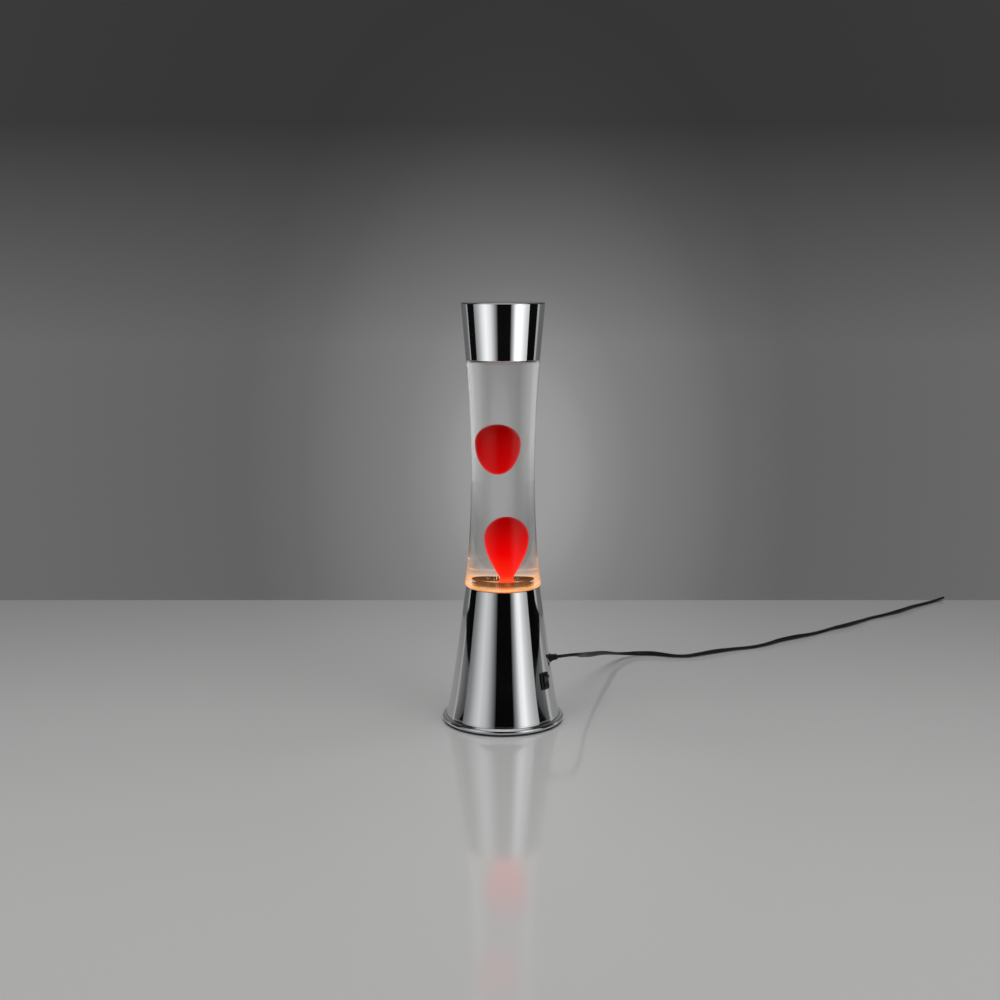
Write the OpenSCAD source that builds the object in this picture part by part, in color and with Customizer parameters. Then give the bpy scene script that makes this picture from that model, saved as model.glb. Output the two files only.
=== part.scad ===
// Motion lamp: a chromed flared base with a reflector bulb inside, a waisted glass
// bottle of clear liquid and red wax standing on it, and a chromed lift-off cap.
// Millimetres. Origin at the bottom centre, +Z up, the front of the lamp towards -Y.

/* [Base] */
// Height of the face that the bottle stands on
base_h = 131; // [105:1:170]
// Outer radius of the rolled rim at the foot
base_r = 57.7; // [50:0.5:72]
// Outer radius of the shell at its top edge
neck_r = 34.8; // [33:0.2:36]
// Thickness of the shell's sheet metal
shell_t = 0.8; // [0.6:0.1:1]
// Radius of the rolled rim
rim_r = 2.2; // [1.8:0.1:3]
// Radius of the fillet between the flare and the rim
flare_fillet = 2; // [1.5:0.1:4]
// Radius of the rounded edges of the seat
seat_edge = 1.2; // [1.1:0.1:1.5]
// Depth of the turned-down lip inside the seat
lip_h = 6; // [4:0.5:9]
// Radius of the opening in the seat
lip_r = 31.6; // [30:0.2:32]

/* [Base plate] */
// Thickness of the plate
plate_t = 0.8; // [0.6:0.1:1.5]
// How far the plate's edge stays inside the rim's outer edge
plate_inset = 1.5; // [1:0.1:3]
// How far the middle of the plate is raised
dish_h = 3; // [2.6:0.1:5]
// Radius of the raised middle
dish_r = 46.5; // [42:0.5:48]
// Radius of a vent hole
vent_r = 2.5; // [1.5:0.1:3]
// Radius of the ring of vent holes
vent_ring_r = 31; // [28:0.5:34]
// Thickness of the rubber feet
pad_t = 0.8; // [0.6:0.1:3]
// Radius of a rubber foot
pad_r = 3.6; // [3:0.1:4]
// Radius of the ring of plate screws
plate_screw_ring_r = 41.5; // [38:0.5:42]

/* [Bottle] */
// Height from the base's seat to the ledge that the cap stands on
bottle_h = 212; // [190:1:260]
// Height of the waist above the seat
waist_h = 111; // [95:1:125]
// Outer radius of the glass at the heel
heel_r = 35.6; // [34.5:0.1:36.5]
// Outer radius of the glass at the waist
waist_r = 29.8; // [28:0.1:32]
// Outer radius of the glass at the cap's ledge
shoulder_r = 34.4; // [34:0.1:35]
// Thickness of the glass wall
glass_t = 2.6; // [2:0.1:3.2]
// Thickness of the glass floor
floor_t = 4; // [3:0.1:5]
// Height of the glass floor's upper face above the seat
floor_up = 0.6; // [0.5:0.1:3]
// How far the band around the heel stands out
heel_step = 0.45; // [0.2:0.05:0.8]
// Height of the band around the heel
heel_band_h = 8.5; // [6:0.5:12]
// How far the foot ring stands down below the glass floor
foot_ring_h = 1.6; // [1.2:0.1:3]
// Wall of the foot ring
foot_ring_t = 4; // [3:0.1:5]
// Outer radius of the neck's finish, under the crown cap
finish_r = 13.3; // [13:0.1:13.5]
// Radius of the bottle's mouth
mouth_r = 8.9; // [8:0.1:9.5]
// Height of the neck's rim above the cap's ledge
neck_h = 35; // [30:0.5:40]

/* [Top cap] */
// Height of the cap
cap_h = 52; // [50:1:70]
// Outer radius of the cap's lower edge
cap_low_r = 34.4; // [34.2:0.1:35]
// Outer radius of the cap's top
cap_top_r = 38.8; // [36:0.1:45]
// Thickness of the cap's sheet metal
cap_t = 0.8; // [0.6:0.1:1.2]
// Radius of the cap's top edge
cap_edge = 1.4; // [1.3:0.1:2.5]
// Width of the hem turned in at the cap's lower edge
cap_hem = 1.6; // [1.4:0.1:1.8]

/* [Wax and liquid] */
// Height of the liquid's surface below the cap's ledge
liquid_drop = 2; // [1:0.5:20]
// Height of the widest part of the floating blob above the seat
blob_up = 134.5; // [125:0.5:150]
// Radius of the floating blob
blob_r = 16; // [12:0.1:18]
// Height of the blob above its widest part
blob_top = 18.5; // [14:0.5:22]
// Depth of the blob below its widest part
blob_bottom = 28.5; // [20:0.5:30]
// How far the blob floats to the left of the axis
blob_left = 3.7; // [0:0.1:5]
// Radius of the rising wax column's head
column_r = 15.4; // [12:0.1:18]
// Height of the head's widest part above the seat
column_up = 45; // [40:0.5:52]
// Height of the head above its widest part
column_top = 21; // [16:0.5:24]
// Radius of the column's neck
column_neck_r = 4.8; // [3:0.1:7]
// Radius of the column's foot on the glass floor
column_foot_r = 8; // [7:0.1:13]
// Height of the column's flared foot
column_foot_h = 8; // [4:0.5:10]
// How far the column stands to the right of the axis
column_right = 2.5; // [0:0.1:3]
// Radius of the heating coil's ring
ring_r = 19.5; // [18:0.1:22]
// Radius of the coil of wire that forms the ring
ring_wire_r = 2.5; // [2:0.1:3.2]

/* [Bulb and holder] */
// Overall length of the reflector bulb
bulb_len = 67; // [60:0.5:67]
// Radius of the reflector
reflector_r = 19.5; // [17:0.1:22]
// Thickness of the bulb's glass
bulb_t = 0.7; // [0.5:0.1:1]
// Gap between the bulb's top and the foot ring's lower edge
bulb_gap = 6; // [4:0.5:10]
// Outer radius of the screw thread on the bulb's cap
thread_r = 6.95; // [6.9:0.05:7]
// Pitch of the thread
thread_pitch = 2.82; // [2.8:0.01:2.85]
// Outer radius of the lamp holder
holder_r = 13.5; // [12.5:0.1:15]
// Clearance between the bulb's thread and the holder's sleeve
thread_gap = 0.3; // [0.2:0.05:0.4]
// Thickness of the holder's bracket
bracket_t = 1.2; // [1:0.1:2]
// Width of the bracket
bracket_w = 16; // [14:0.5:20]
// Height from the base plate to the bracket's top
bracket_h = 25.4; // [22:0.2:27]

/* [Switch] */
// Height of the switch's centre
switch_z = 44.5; // [38:0.5:50]
// Turn of the switch from +X towards the front, in degrees
switch_turn = 34; // [20:1:60]
// Height of the switch's bezel
bezel_h = 16; // [14.5:0.5:18]
// Width of the bezel
bezel_w = 11; // [10:0.5:13]
// Thickness of the bezel
bezel_t = 1.6; // [1.2:0.1:2]
// Angle that the rocker tilts each way from level
rocker_tilt = 10; // [6:1:12]
// Radius of the rocker's end faces about its pivot
rocker_r = 6; // [5.5:0.1:6.2]
// Width of the rocker
rocker_w = 6.6; // [6:0.1:7]
// Gap around the rocker
rocker_gap = 0.3; // [0.3:0.05:0.5]

/* [Cord and plug] */
// Width of the flat cord
cord_w = 5.2; // [4.8:0.1:5.6]
// Thickness of the flat cord
cord_t = 3; // [2.6:0.1:3.4]
// Height of the cord's exit
exit_z = 58.5; // [54:0.5:64]
// Turn of the exit from +X towards the back, in degrees
exit_turn = 5; // [0:1:20]
// Mean radius of the coiled cord
coil_r = 30.8; // [27:0.2:31]
// Number of turns side by side in the coil
coil_turns = 3; // [2:1:4]
// Radius of a plug pin
pin_r = 2; // [2:0.05:2.05]
// Length of a plug pin
pin_len = 19; // [18:0.5:19]
// Distance between the plug pins' axes
pin_pitch = 19; // [18:0.1:19]

/* [Hidden] */
$fn = 64;
eps = 0.01;

// Heights that the sizes above fix
seat_z = base_h;
ledge_z = seat_z + bottle_h;
top_z = ledge_z + cap_h;
waist_z = seat_z + waist_h;
floor_z = seat_z + floor_up;
under_z = floor_z - floor_t;
foot_z = under_z - foot_ring_h;
liquid_z = ledge_z - liquid_drop;
blob_z = seat_z + blob_up;
column_z = seat_z + column_up;
neck_z = ledge_z + neck_h;
rim_z = pad_t + plate_t + rim_r;
flare_z = rim_z + rim_r + flare_fillet;
flare_r = base_r - rim_r - flare_fillet;
disc_z = pad_t + dish_h;
disc_top = disc_z + plate_t;

// Shared small sizes
fit_gap = 0.3;
skin_gap = 0.15;
foot_gap = 0.6;
m3_r = 1.5;
m3_hole_r = 1.7;
m3_head_r = 2.8;
m3_head_h = 1.7;
profile_steps = 16;

// Points of an arc about a centre, from angle a0 to a1 in n steps
function arc(c, r, a0, a1, n) =
    [for (i = [0:n]) let (a = a0 + (a1 - a0) * i / n) c + r * [cos(a), sin(a)]];

function reversed(list) = [for (i = [len(list) - 1:-1:0]) list[i]];

// Outer radius of the base's shell: nearly a cone, with a flare that grows near the foot
function shell_r(z) =
    let (t = (seat_z - z) / (seat_z - flare_z))
    neck_r + (flare_r - neck_r) * (0.89 * t + 0.11 * pow(t, 6.5));

// Angle that the shell's face leans back at a height
function shell_lean(z) = atan((shell_r(z - 1) - shell_r(z + 1)) / 2);

// Outer radius of the bottle: power curves from the waist down to the heel and up to the ledge
function glass_r(z) =
    z < waist_z
        ? waist_r + (heel_r - waist_r) * pow((waist_z - z) / (waist_z - seat_z), 2.29)
        : waist_r + (shoulder_r - waist_r) * pow((z - waist_z) / (ledge_z - waist_z), 1.92);

// Heights of n steps between two heights
function heights(z0, z1, n) = [for (i = [0:n]) z0 + (z1 - z0) * i / n];

// ---- Base ----

// Line of the shell's sloping wall, a depth under its outer face, from the flare up
function shell_line(depth) =
    [for (z = heights(flare_z + 1, seat_z - seat_edge - 1, profile_steps)) [shell_r(z) - depth, z]];

module base_shell() {
    seat_c = seat_z - seat_edge;
    rim_c = [flare_r + flare_fillet, rim_z];
    flare_c = [flare_r + flare_fillet, flare_z];
    outer = concat(
        [[lip_r, seat_z - lip_h]],
        arc([lip_r + seat_edge, seat_c], seat_edge, 180, 90, 4),
        arc([neck_r - seat_edge, seat_c], seat_edge, 90, 0, 4),
        reversed(shell_line(0)),
        arc(flare_c, flare_fillet, 180, 270, 4),
        arc(rim_c, rim_r, 75, -175, 12)
    );
    inner = concat(
        arc(rim_c, rim_r - shell_t, -175, 75, 12),
        arc(flare_c, flare_fillet + shell_t, 270, 180, 4),
        shell_line(shell_t),
        arc([neck_r - seat_edge, seat_c], seat_edge - shell_t, 0, 90, 2),
        arc([lip_r + seat_edge, seat_c], seat_edge - shell_t, 90, 180, 2),
        [[lip_r + shell_t, seat_z - lip_h]]
    );
    color("silver")
    difference() {
        rotate_extrude() polygon(concat(outer, inner));
        at_switch()
            translate([-15, -switch_body_w / 2 - fit_gap, -switch_body_h / 2 - fit_gap])
                cube([20, switch_body_w + 2 * fit_gap, switch_body_h + 2 * fit_gap]);
        at_exit() translate([0, 0, -8]) cylinder(r = relief_neck_r + 0.1, h = 16);
    }
}

lug_count = 3;
lug_w = 12;
lug_t = 1.2;
lug_h = 13;
lug_back = 3.2;
lug_turn = 30;

module shell_lugs() {
    color("gray")
    for (i = [0:lug_count - 1])
        rotate([0, 0, lug_turn + i * 360 / lug_count])
            difference() {
                intersection() {
                    union() {
                        translate([plate_screw_ring_r - 5, -lug_w / 2, disc_top])
                            cube([flare_r - plate_screw_ring_r + 5, lug_w, lug_t]);
                        translate([flare_r - shell_t - lug_back, -lug_w / 2, disc_top])
                            cube([lug_back + 2, lug_w, lug_h]);
                    }
                    rotate_extrude()
                        polygon(concat(
                            [[0, disc_top], [flare_r - shell_t, disc_top]],
                            [[flare_r - shell_t, flare_z]],
                            shell_line(shell_t),
                            [[0, seat_z - seat_edge]]
                        ));
                }
                translate([plate_screw_ring_r, 0, disc_top - 1]) cylinder(r = m3_r, h = lug_t + 2);
            }
}

bracket_foot_y = 24;
bracket_leg_y = 17;

module base_plate() {
    plate_r = base_r - plate_inset;
    step_w = 1;
    color([0.08, 0.08, 0.08])
    difference() {
        rotate_extrude()
            polygon([
                [0, disc_z], [dish_r - step_w, disc_z], [dish_r, pad_t], [plate_r, pad_t],
                [plate_r, pad_t + plate_t], [dish_r + step_w, pad_t + plate_t],
                [dish_r, disc_top], [0, disc_top]
            ]);
        for (i = [0:11])
            rotate([0, 0, 15 + i * 30])
                translate([vent_ring_r, 0, disc_z - 1]) cylinder(r = vent_r, h = plate_t + 2);
        for (i = [0:lug_count - 1])
            rotate([0, 0, lug_turn + i * 360 / lug_count])
                translate([plate_screw_ring_r, 0, disc_z - 1]) cylinder(r = m3_hole_r, h = plate_t + 2);
        for (side = [-1, 1])
            translate([0, side * bracket_foot_y, disc_z - 1]) cylinder(r = m3_hole_r, h = plate_t + 2);
    }
}

// Pan-head screw pointing up, its head's seat at z = 0, with a cross recess
module pan_screw(shank) {
    slot_w = 0.8;
    difference() {
        union() {
            translate([0, 0, -m3_head_h]) cylinder(r = m3_head_r, h = m3_head_h);
            cylinder(r = m3_r - 0.05, h = shank);
        }
        for (turn = [0, 90])
            rotate([0, 0, turn])
                translate([-1.7, -slot_w / 2, -m3_head_h - 1]) cube([3.4, slot_w, 1.9]);
    }
}

module plate_screws() {
    color("silver")
    for (i = [0:lug_count - 1])
        rotate([0, 0, lug_turn + i * 360 / lug_count])
            translate([plate_screw_ring_r, 0, disc_z]) pan_screw(plate_t + lug_t + 3);
}

module rubber_feet() {
    pad_ring_r = (dish_r + base_r - plate_inset) / 2;
    color([0.05, 0.05, 0.05])
    for (i = [0:3])
        rotate([0, 0, 45 + i * 90]) translate([pad_ring_r, 0, 0]) cylinder(r = pad_r, h = pad_t);
}

// ---- Lamp holder ----

bracket_top = disc_top + bracket_h;
nipple_r = 5;
nipple_gap = 0.15;

module holder_bracket() {
    foot_end = bracket_foot_y + 6;
    outline = [
        [-foot_end, 0], [-bracket_leg_y, 0], [-bracket_leg_y, bracket_h - bracket_t],
        [bracket_leg_y, bracket_h - bracket_t], [bracket_leg_y, 0], [foot_end, 0],
        [foot_end, bracket_t], [bracket_leg_y + bracket_t, bracket_t],
        [bracket_leg_y + bracket_t, bracket_h], [-bracket_leg_y - bracket_t, bracket_h],
        [-bracket_leg_y - bracket_t, bracket_t], [-foot_end, bracket_t]
    ];
    color("lightgray")
    difference() {
        translate([-bracket_w / 2, 0, disc_top])
            rotate([90, 0, 90]) linear_extrude(height = bracket_w) polygon(outline);
        translate([0, 0, bracket_top - 3]) cylinder(r = nipple_r + nipple_gap, h = 6);
        for (side = [-1, 1])
            translate([0, side * bracket_foot_y, disc_top - 1]) cylinder(r = m3_hole_r, h = bracket_t + 2);
    }
}

nut_h = 2.4;

module bracket_screws() {
    color("silver")
    for (side = [-1, 1])
        translate([0, side * bracket_foot_y, disc_z])
            pan_screw(plate_t + bracket_t + nut_h + 1.5);
}

module bracket_nuts() {
    color("silver")
    for (side = [-1, 1])
        translate([0, side * bracket_foot_y, disc_top + bracket_t])
            difference() {
                cylinder(r = 3.1, h = nut_h, $fn = 6);
                translate([0, 0, -1]) cylinder(r = m3_r, h = nut_h + 2);
            }
}

holder_floor_t = 3;
nipple_nut_h = 3;
nipple_up = holder_floor_t + nipple_nut_h + 1;
nipple_down = bracket_t + nipple_nut_h + 1;

module holder_nipple() {
    color("goldenrod")
    translate([0, 0, bracket_top - nipple_down])
        difference() {
            cylinder(r = nipple_r - 0.05, h = nipple_down + nipple_up);
            translate([0, 0, -1]) cylinder(r = nipple_r - 1, h = nipple_down + nipple_up + 2);
        }
}

module nipple_nuts() {
    color("silver")
    for (z = [bracket_top - bracket_t - nipple_nut_h, bracket_top + holder_floor_t])
        translate([0, 0, z])
            difference() {
                cylinder(r = 8, h = nipple_nut_h, $fn = 6);
                translate([0, 0, -1]) cylinder(r = nipple_r, h = nipple_nut_h + 2);
            }
}

bulb_top = foot_z - bulb_gap;
bulb_tip = bulb_top - bulb_len;
sleeve_t = 0.5;
sleeve_in_r = thread_r + thread_gap;
sleeve_out_r = sleeve_in_r + sleeve_t;
contact_gap = 0.3;
contact_h = 1.7;
well_z = bulb_tip - contact_gap - contact_h;
holder_top = bulb_tip + 18;
chamber_r = 10.5;
chamber_roof_t = 2;
wire_r = 1;
wire_hole_r = 1.5;
wire_hole_z = bracket_top + 11;
neutral_turn = 10;
switched_turn = -switch_turn - 20;

module lamp_holder() {
    color([0.1, 0.1, 0.1])
    difference() {
        union() {
            translate([0, 0, bracket_top]) cylinder(r = holder_r, h = well_z + 6 - bracket_top);
            translate([0, 0, well_z]) cylinder(r = sleeve_out_r + 2.4, h = holder_top - well_z);
        }
        translate([0, 0, well_z]) cylinder(r = sleeve_out_r, h = holder_top - well_z + 1);
        translate([0, 0, bracket_top + holder_floor_t])
            cylinder(r = chamber_r, h = well_z - chamber_roof_t - bracket_top - holder_floor_t);
        translate([0, 0, bracket_top - 1]) cylinder(r = nipple_r + nipple_gap, h = holder_floor_t + 2);
        for (turn = [neutral_turn, switched_turn])
            rotate([0, 0, turn])
                translate([chamber_r - 2, 0, wire_hole_z]) rotate([0, 90, 0])
                    cylinder(r = wire_hole_r, h = holder_r - chamber_r + 4);
    }
}

module holder_sleeve() {
    color("goldenrod")
    translate([0, 0, well_z])
        difference() {
            cylinder(r = sleeve_out_r, h = holder_top - well_z - 1);
            translate([0, 0, -1]) cylinder(r = sleeve_in_r, h = holder_top - well_z + 2);
        }
}

module holder_contact() {
    blade_w = 4;
    blade_t = 0.5;
    blade_x = 5;
    color("goldenrod")
    translate([0, blade_w / 2, well_z])
        rotate([90, 0, 0])
            linear_extrude(height = blade_w)
                polygon([
                    [-blade_x, 0], [blade_x, 0], [blade_x, blade_t], [-blade_x + 1.5, blade_t],
                    [-2, contact_h - blade_t], [2, contact_h - blade_t],
                    [2, contact_h], [-2.4, contact_h], [-blade_x, blade_t]
                ]);
}

// ---- Bulb ----

bulb_neck_r = thread_r - 0.6;
cap_shell_z = bulb_tip + 3.5;
cap_shell_top = bulb_tip + 19;

// Outer face of the reflector bulb, shrunk by gap, from the neck up to the top centre
function bulb_outline(gap) =
    let (
        bowl_z = bulb_tip + 0.76 * bulb_len,
        dome_h = bulb_top - bowl_z - gap,
        neck_top = cap_shell_top + 3
    )
    concat(
        [[bulb_neck_r - gap, cap_shell_top - 2], [bulb_neck_r - gap, neck_top]],
        [for (i = [1:8]) let (t = i / 8)
            [bulb_neck_r + (reflector_r - bulb_neck_r) * sin(90 * t) - gap,
             neck_top + (bowl_z - neck_top) * (1 - cos(90 * t))]],
        [for (i = [1:8]) let (a = 90 * i / 8)
            [(reflector_r - gap) * cos(a), bowl_z + dome_h * sin(a)]]
    );

module bulb_glass() {
    inner = bulb_outline(bulb_t);
    color([0.9, 0.9, 0.95, 0.6])
    difference() {
        rotate_extrude()
            polygon(concat([[0, cap_shell_top - 2]], bulb_outline(0)));
        rotate_extrude()
            polygon(concat([[0, cap_shell_top - 1]], [[inner[0][0], cap_shell_top - 1]],
                [for (i = [1:len(inner) - 1]) inner[i]]));
    }
}

module bulb_cap() {
    thread_depth = 0.35;
    wall = 0.4;
    turns_z = heights(cap_shell_z, cap_shell_top - 3, 32);
    outer = [for (z = turns_z)
        [thread_r - thread_depth * (1 - cos(360 * (z - cap_shell_z) / thread_pitch)) / 2, z]];
    inner_r = thread_r - thread_depth - wall;
    color("silver")
    rotate_extrude()
        polygon(concat(
            outer,
            [[thread_r, cap_shell_top - 2.6], [thread_r, cap_shell_top],
             [bulb_neck_r + 0.05, cap_shell_top], [bulb_neck_r + 0.05, cap_shell_top - 2],
             [inner_r, cap_shell_top - 2.2], [inner_r, cap_shell_z]]
        ));
}

module bulb_insulator() {
    color([0.1, 0.1, 0.1])
    rotate_extrude()
        polygon([
            [0, bulb_tip + 1], [2.8, bulb_tip + 1], [thread_r - 0.8, cap_shell_z],
            [thread_r - 0.8, cap_shell_z + 1.5], [0, cap_shell_z + 1.5]
        ]);
}

module bulb_contact() {
    color("silver")
    translate([0, 0, bulb_tip]) cylinder(r = 2.2, h = 1);
}

stem_top = bulb_tip + 0.5 * bulb_len;

module bulb_stem() {
    color([0.85, 0.9, 0.9, 0.7])
    union() {
        translate([0, 0, cap_shell_top - 1]) cylinder(r = 2, h = stem_top - cap_shell_top + 1);
        translate([0, 0, cap_shell_top - 1]) cylinder(r = bulb_neck_r - bulb_t, h = 1.2);
        for (side = [-1, 1])
            translate([side * 1.2, 0, stem_top - 1])
                rotate([0, side * 30, 0]) cylinder(r = 0.3, h = 9);
    }
}

module bulb_filament() {
    tip_x = 1.2 + 9 * sin(30);
    tip_z = stem_top - 1 + 9 * cos(30);
    color("orange")
    translate([-tip_x, 0, tip_z + 0.3]) rotate([0, 90, 0]) cylinder(r = 0.5, h = 2 * tip_x);
}

// ---- Switch ----

switch_body_w = bezel_w - 1.6;
switch_body_h = bezel_h - 2.8;
switch_body_d = 12;
pivot_x = 0.6;
pivot_r = 0.8;
pivot_gap = 0.05;

// Moves to the switch's own frame: +X out of the shell's face, +Z up along it
module at_switch() {
    rotate([0, 0, -switch_turn])
        translate([shell_r(switch_z), 0, switch_z])
            rotate([0, -shell_lean(switch_z), 0]) children();
}

module switch_housing() {
    well_r = rocker_r + rocker_gap;
    color([0.03, 0.03, 0.03])
    at_switch()
        difference() {
            union() {
                translate([skin_gap, -bezel_w / 2, -bezel_h / 2])
                    cube([bezel_t - skin_gap, bezel_w, bezel_h]);
                translate([-switch_body_d, -switch_body_w / 2, -switch_body_h / 2])
                    cube([switch_body_d + skin_gap + eps, switch_body_w, switch_body_h]);
            }
            translate([pivot_x, -rocker_w / 2 - rocker_gap, 0])
                rotate([-90, 0, 0]) cylinder(r = well_r, h = rocker_w + 2 * rocker_gap);
            translate([pivot_x, -rocker_w / 2 - rocker_gap, -well_r])
                cube([bezel_t + 2, rocker_w + 2 * rocker_gap, 2 * well_r]);
            translate([pivot_x, -rocker_w / 2 - 1, 0])
                rotate([-90, 0, 0]) cylinder(r = pivot_r + pivot_gap, h = rocker_w + 2);
        }
}

module switch_rocker() {
    ridge = bezel_t + 0.8;
    lift = 1.2;
    back = -2.4;
    color([0.05, 0.05, 0.05])
    at_switch()
        translate([pivot_x, 0, 0])
            rotate([0, rocker_tilt, 0])
                union() {
                    intersection() {
                        translate([0, -rocker_w / 2, 0])
                            rotate([-90, 0, 0]) cylinder(r = rocker_r, h = rocker_w);
                        translate([0, rocker_w / 2, 0])
                            rotate([90, 0, 0])
                                linear_extrude(height = rocker_w)
                                    polygon([
                                        [back, -rocker_r - 1], [ridge - pivot_x + lift, -rocker_r - 1],
                                        [ridge - pivot_x, 0], [ridge - pivot_x + lift, rocker_r + 1],
                                        [back, rocker_r + 1]
                                    ]);
                    }
                    translate([0, -rocker_w / 2 - 0.9, 0])
                        rotate([-90, 0, 0]) cylinder(r = pivot_r, h = rocker_w + 1.8);
                }
}

terminal_len = 7;
terminal_w = 4.8;
terminal_t = 0.8;
terminal_z = 3.4;

module switch_terminals() {
    color("silver")
    at_switch()
        for (side = [-1, 1])
            difference() {
                translate([-switch_body_d - terminal_len, -terminal_w / 2, side * terminal_z - terminal_t / 2])
                    cube([terminal_len, terminal_w, terminal_t]);
                translate([-switch_body_d - terminal_len + 2, 0, side * terminal_z - 1])
                    cylinder(r = 0.7, h = 2);
            }
}

// ---- Wires and cord ----

function unit(v) = v / norm(v);

// Catmull-Rom value at share t between b and c
function between(a, b, c, d, t) =
    0.5 * (2 * b + (c - a) * t + (2 * a - 5 * b + 4 * c - d) * t * t
        + (3 * b - a - 3 * c + d) * t * t * t);

// A path with steps - 1 points added between each pair of its points
function smooth(p, steps) =
    let (n = len(p))
    concat(
        [for (i = [0:n - 2]) for (k = [0:steps - 1])
            between(p[max(i - 1, 0)], p[i], p[i + 1], p[min(i + 2, n - 1)], k / steps)],
        [p[n - 1]]
    );

// Tube of an oval section w by t along points [x, y, z, roll]; roll turns the section
module oval_tube(path, w, t, sides, up = [0, 0, 1]) {
    n = len(path);
    spots = [for (p = path) [p[0], p[1], p[2]]];
    along = [for (i = [0:n - 1]) unit(spots[min(i + 1, n - 1)] - spots[max(i - 1, 0)])];
    rings = [for (i = [0:n - 1])
        let (side = unit(cross(along[i], up)), top = cross(side, along[i]))
        for (k = [0:sides - 1])
            let (
                a = 360 * k / sides,
                u = w / 2 * cos(a),
                v = t / 2 * sin(a),
                roll = path[i][3]
            )
            spots[i] + side * (u * cos(roll) - v * sin(roll)) + top * (u * sin(roll) + v * cos(roll))];
    faces = concat(
        [[for (k = [0:sides - 1]) k]],
        [for (i = [0:n - 2]) for (k = [0:sides - 1])
            let (a = i * sides + k, b = i * sides + (k + 1) % sides)
            each [[a, a + sides, b], [b, a + sides, b + sides]]],
        [[for (k = [sides - 1:-1:0]) (n - 1) * sides + k]]
    );
    polyhedron(points = rings, faces = faces, convexity = 8);
}

relief_neck_r = 3.3;
relief_flange_r = 4.3;
relief_flange_t = 1.4;
relief_out = 6;
relief_in = 16;

// Moves to the cord exit's own frame: +Z out of the shell along the exit's axis
module at_exit() {
    rotate([0, 0, exit_turn])
        translate([shell_r(exit_z), 0, exit_z])
            rotate([0, 90 - shell_lean(exit_z), 0]) children();
}

// Point on the exit's axis at a distance outside the shell
function exit_point(d) =
    let (
        lean = shell_lean(exit_z),
        r = shell_r(exit_z) + d * cos(lean)
    )
    [r * cos(exit_turn), r * sin(exit_turn), exit_z + d * sin(lean)];

// Point in the switch's frame as a point of the lamp
function switch_point(x, y, z) =
    let (
        lean = shell_lean(switch_z),
        r = shell_r(switch_z) + x * cos(lean) - z * sin(lean),
        up = switch_z + x * sin(lean) + z * cos(lean)
    )
    [r * cos(switch_turn) + y * sin(switch_turn), y * cos(switch_turn) - r * sin(switch_turn), up];

// Point at the mouth of a wire hole in the lamp holder, a distance in from its outer face
function holder_point(turn, d) =
    [(holder_r - d) * cos(turn), (holder_r - d) * sin(turn), wire_hole_z];

module strain_relief() {
    body_start = -shell_t - fit_gap;
    color([0.04, 0.04, 0.04])
    at_exit()
        rotate_extrude()
            polygon([
                [0, body_start - relief_in], [3, body_start - relief_in], [4, body_start],
                [relief_neck_r, body_start], [relief_neck_r, skin_gap], [relief_flange_r, skin_gap],
                [relief_flange_r, relief_flange_t - 0.5], [relief_flange_r - 0.5, relief_flange_t],
                [3.4, relief_flange_t], [2.8, relief_flange_t + relief_out],
                [0, relief_flange_t + relief_out]
            ]);
}

inner_end = -shell_t - fit_gap - relief_in;
switch_wire_x = -switch_body_d - terminal_len + 1;

function with_roll(p, roll) = [p[0], p[1], p[2], roll];

module wire_live() {
    start = exit_point(inner_end);
    stop = switch_point(switch_wire_x, 0, terminal_z + terminal_t / 2 + wire_r);
    path = [
        with_roll(start + [0, -1.3, 0], 0),
        with_roll(start + [-4, -2.5, -1], 0),
        with_roll([stop[0] - 7, stop[1] + 9, stop[2] + 3], 0),
        with_roll([stop[0] - 4, stop[1] + 3, stop[2] + 0.5], 0),
        with_roll(stop, 0)
    ];
    color("saddlebrown") oval_tube(smooth(path, 3), 2 * wire_r, 2 * wire_r, 8);
}

module wire_switched() {
    start = switch_point(switch_wire_x, 0, -terminal_z - terminal_t / 2 - wire_r);
    stop = holder_point(switched_turn, 2.5);
    mouth = holder_point(switched_turn, -3);
    path = [
        with_roll(start, 0),
        with_roll([start[0] - 4, start[1] + 1, start[2] - 0.5], 0),
        with_roll([mouth[0] + 3, mouth[1] - 3, mouth[2] - 1], 0),
        with_roll(mouth, 0),
        with_roll(stop, 0)
    ];
    color("black") oval_tube(smooth(path, 3), 2 * wire_r, 2 * wire_r, 8);
}

module wire_neutral() {
    start = exit_point(inner_end);
    stop = holder_point(neutral_turn, 2.5);
    mouth = holder_point(neutral_turn, -3);
    path = [
        with_roll(start + [0, 1.3, 0], 0),
        with_roll(start + [-4, 2, -2], 0),
        with_roll([mouth[0] + 5, mouth[1] + 2, mouth[2] + 6], 0),
        with_roll(mouth, 0),
        with_roll(stop, 0)
    ];
    color("steelblue") oval_tube(smooth(path, 3), 2 * wire_r, 2 * wire_r, 8, [0, 1, 0]);
}

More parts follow.
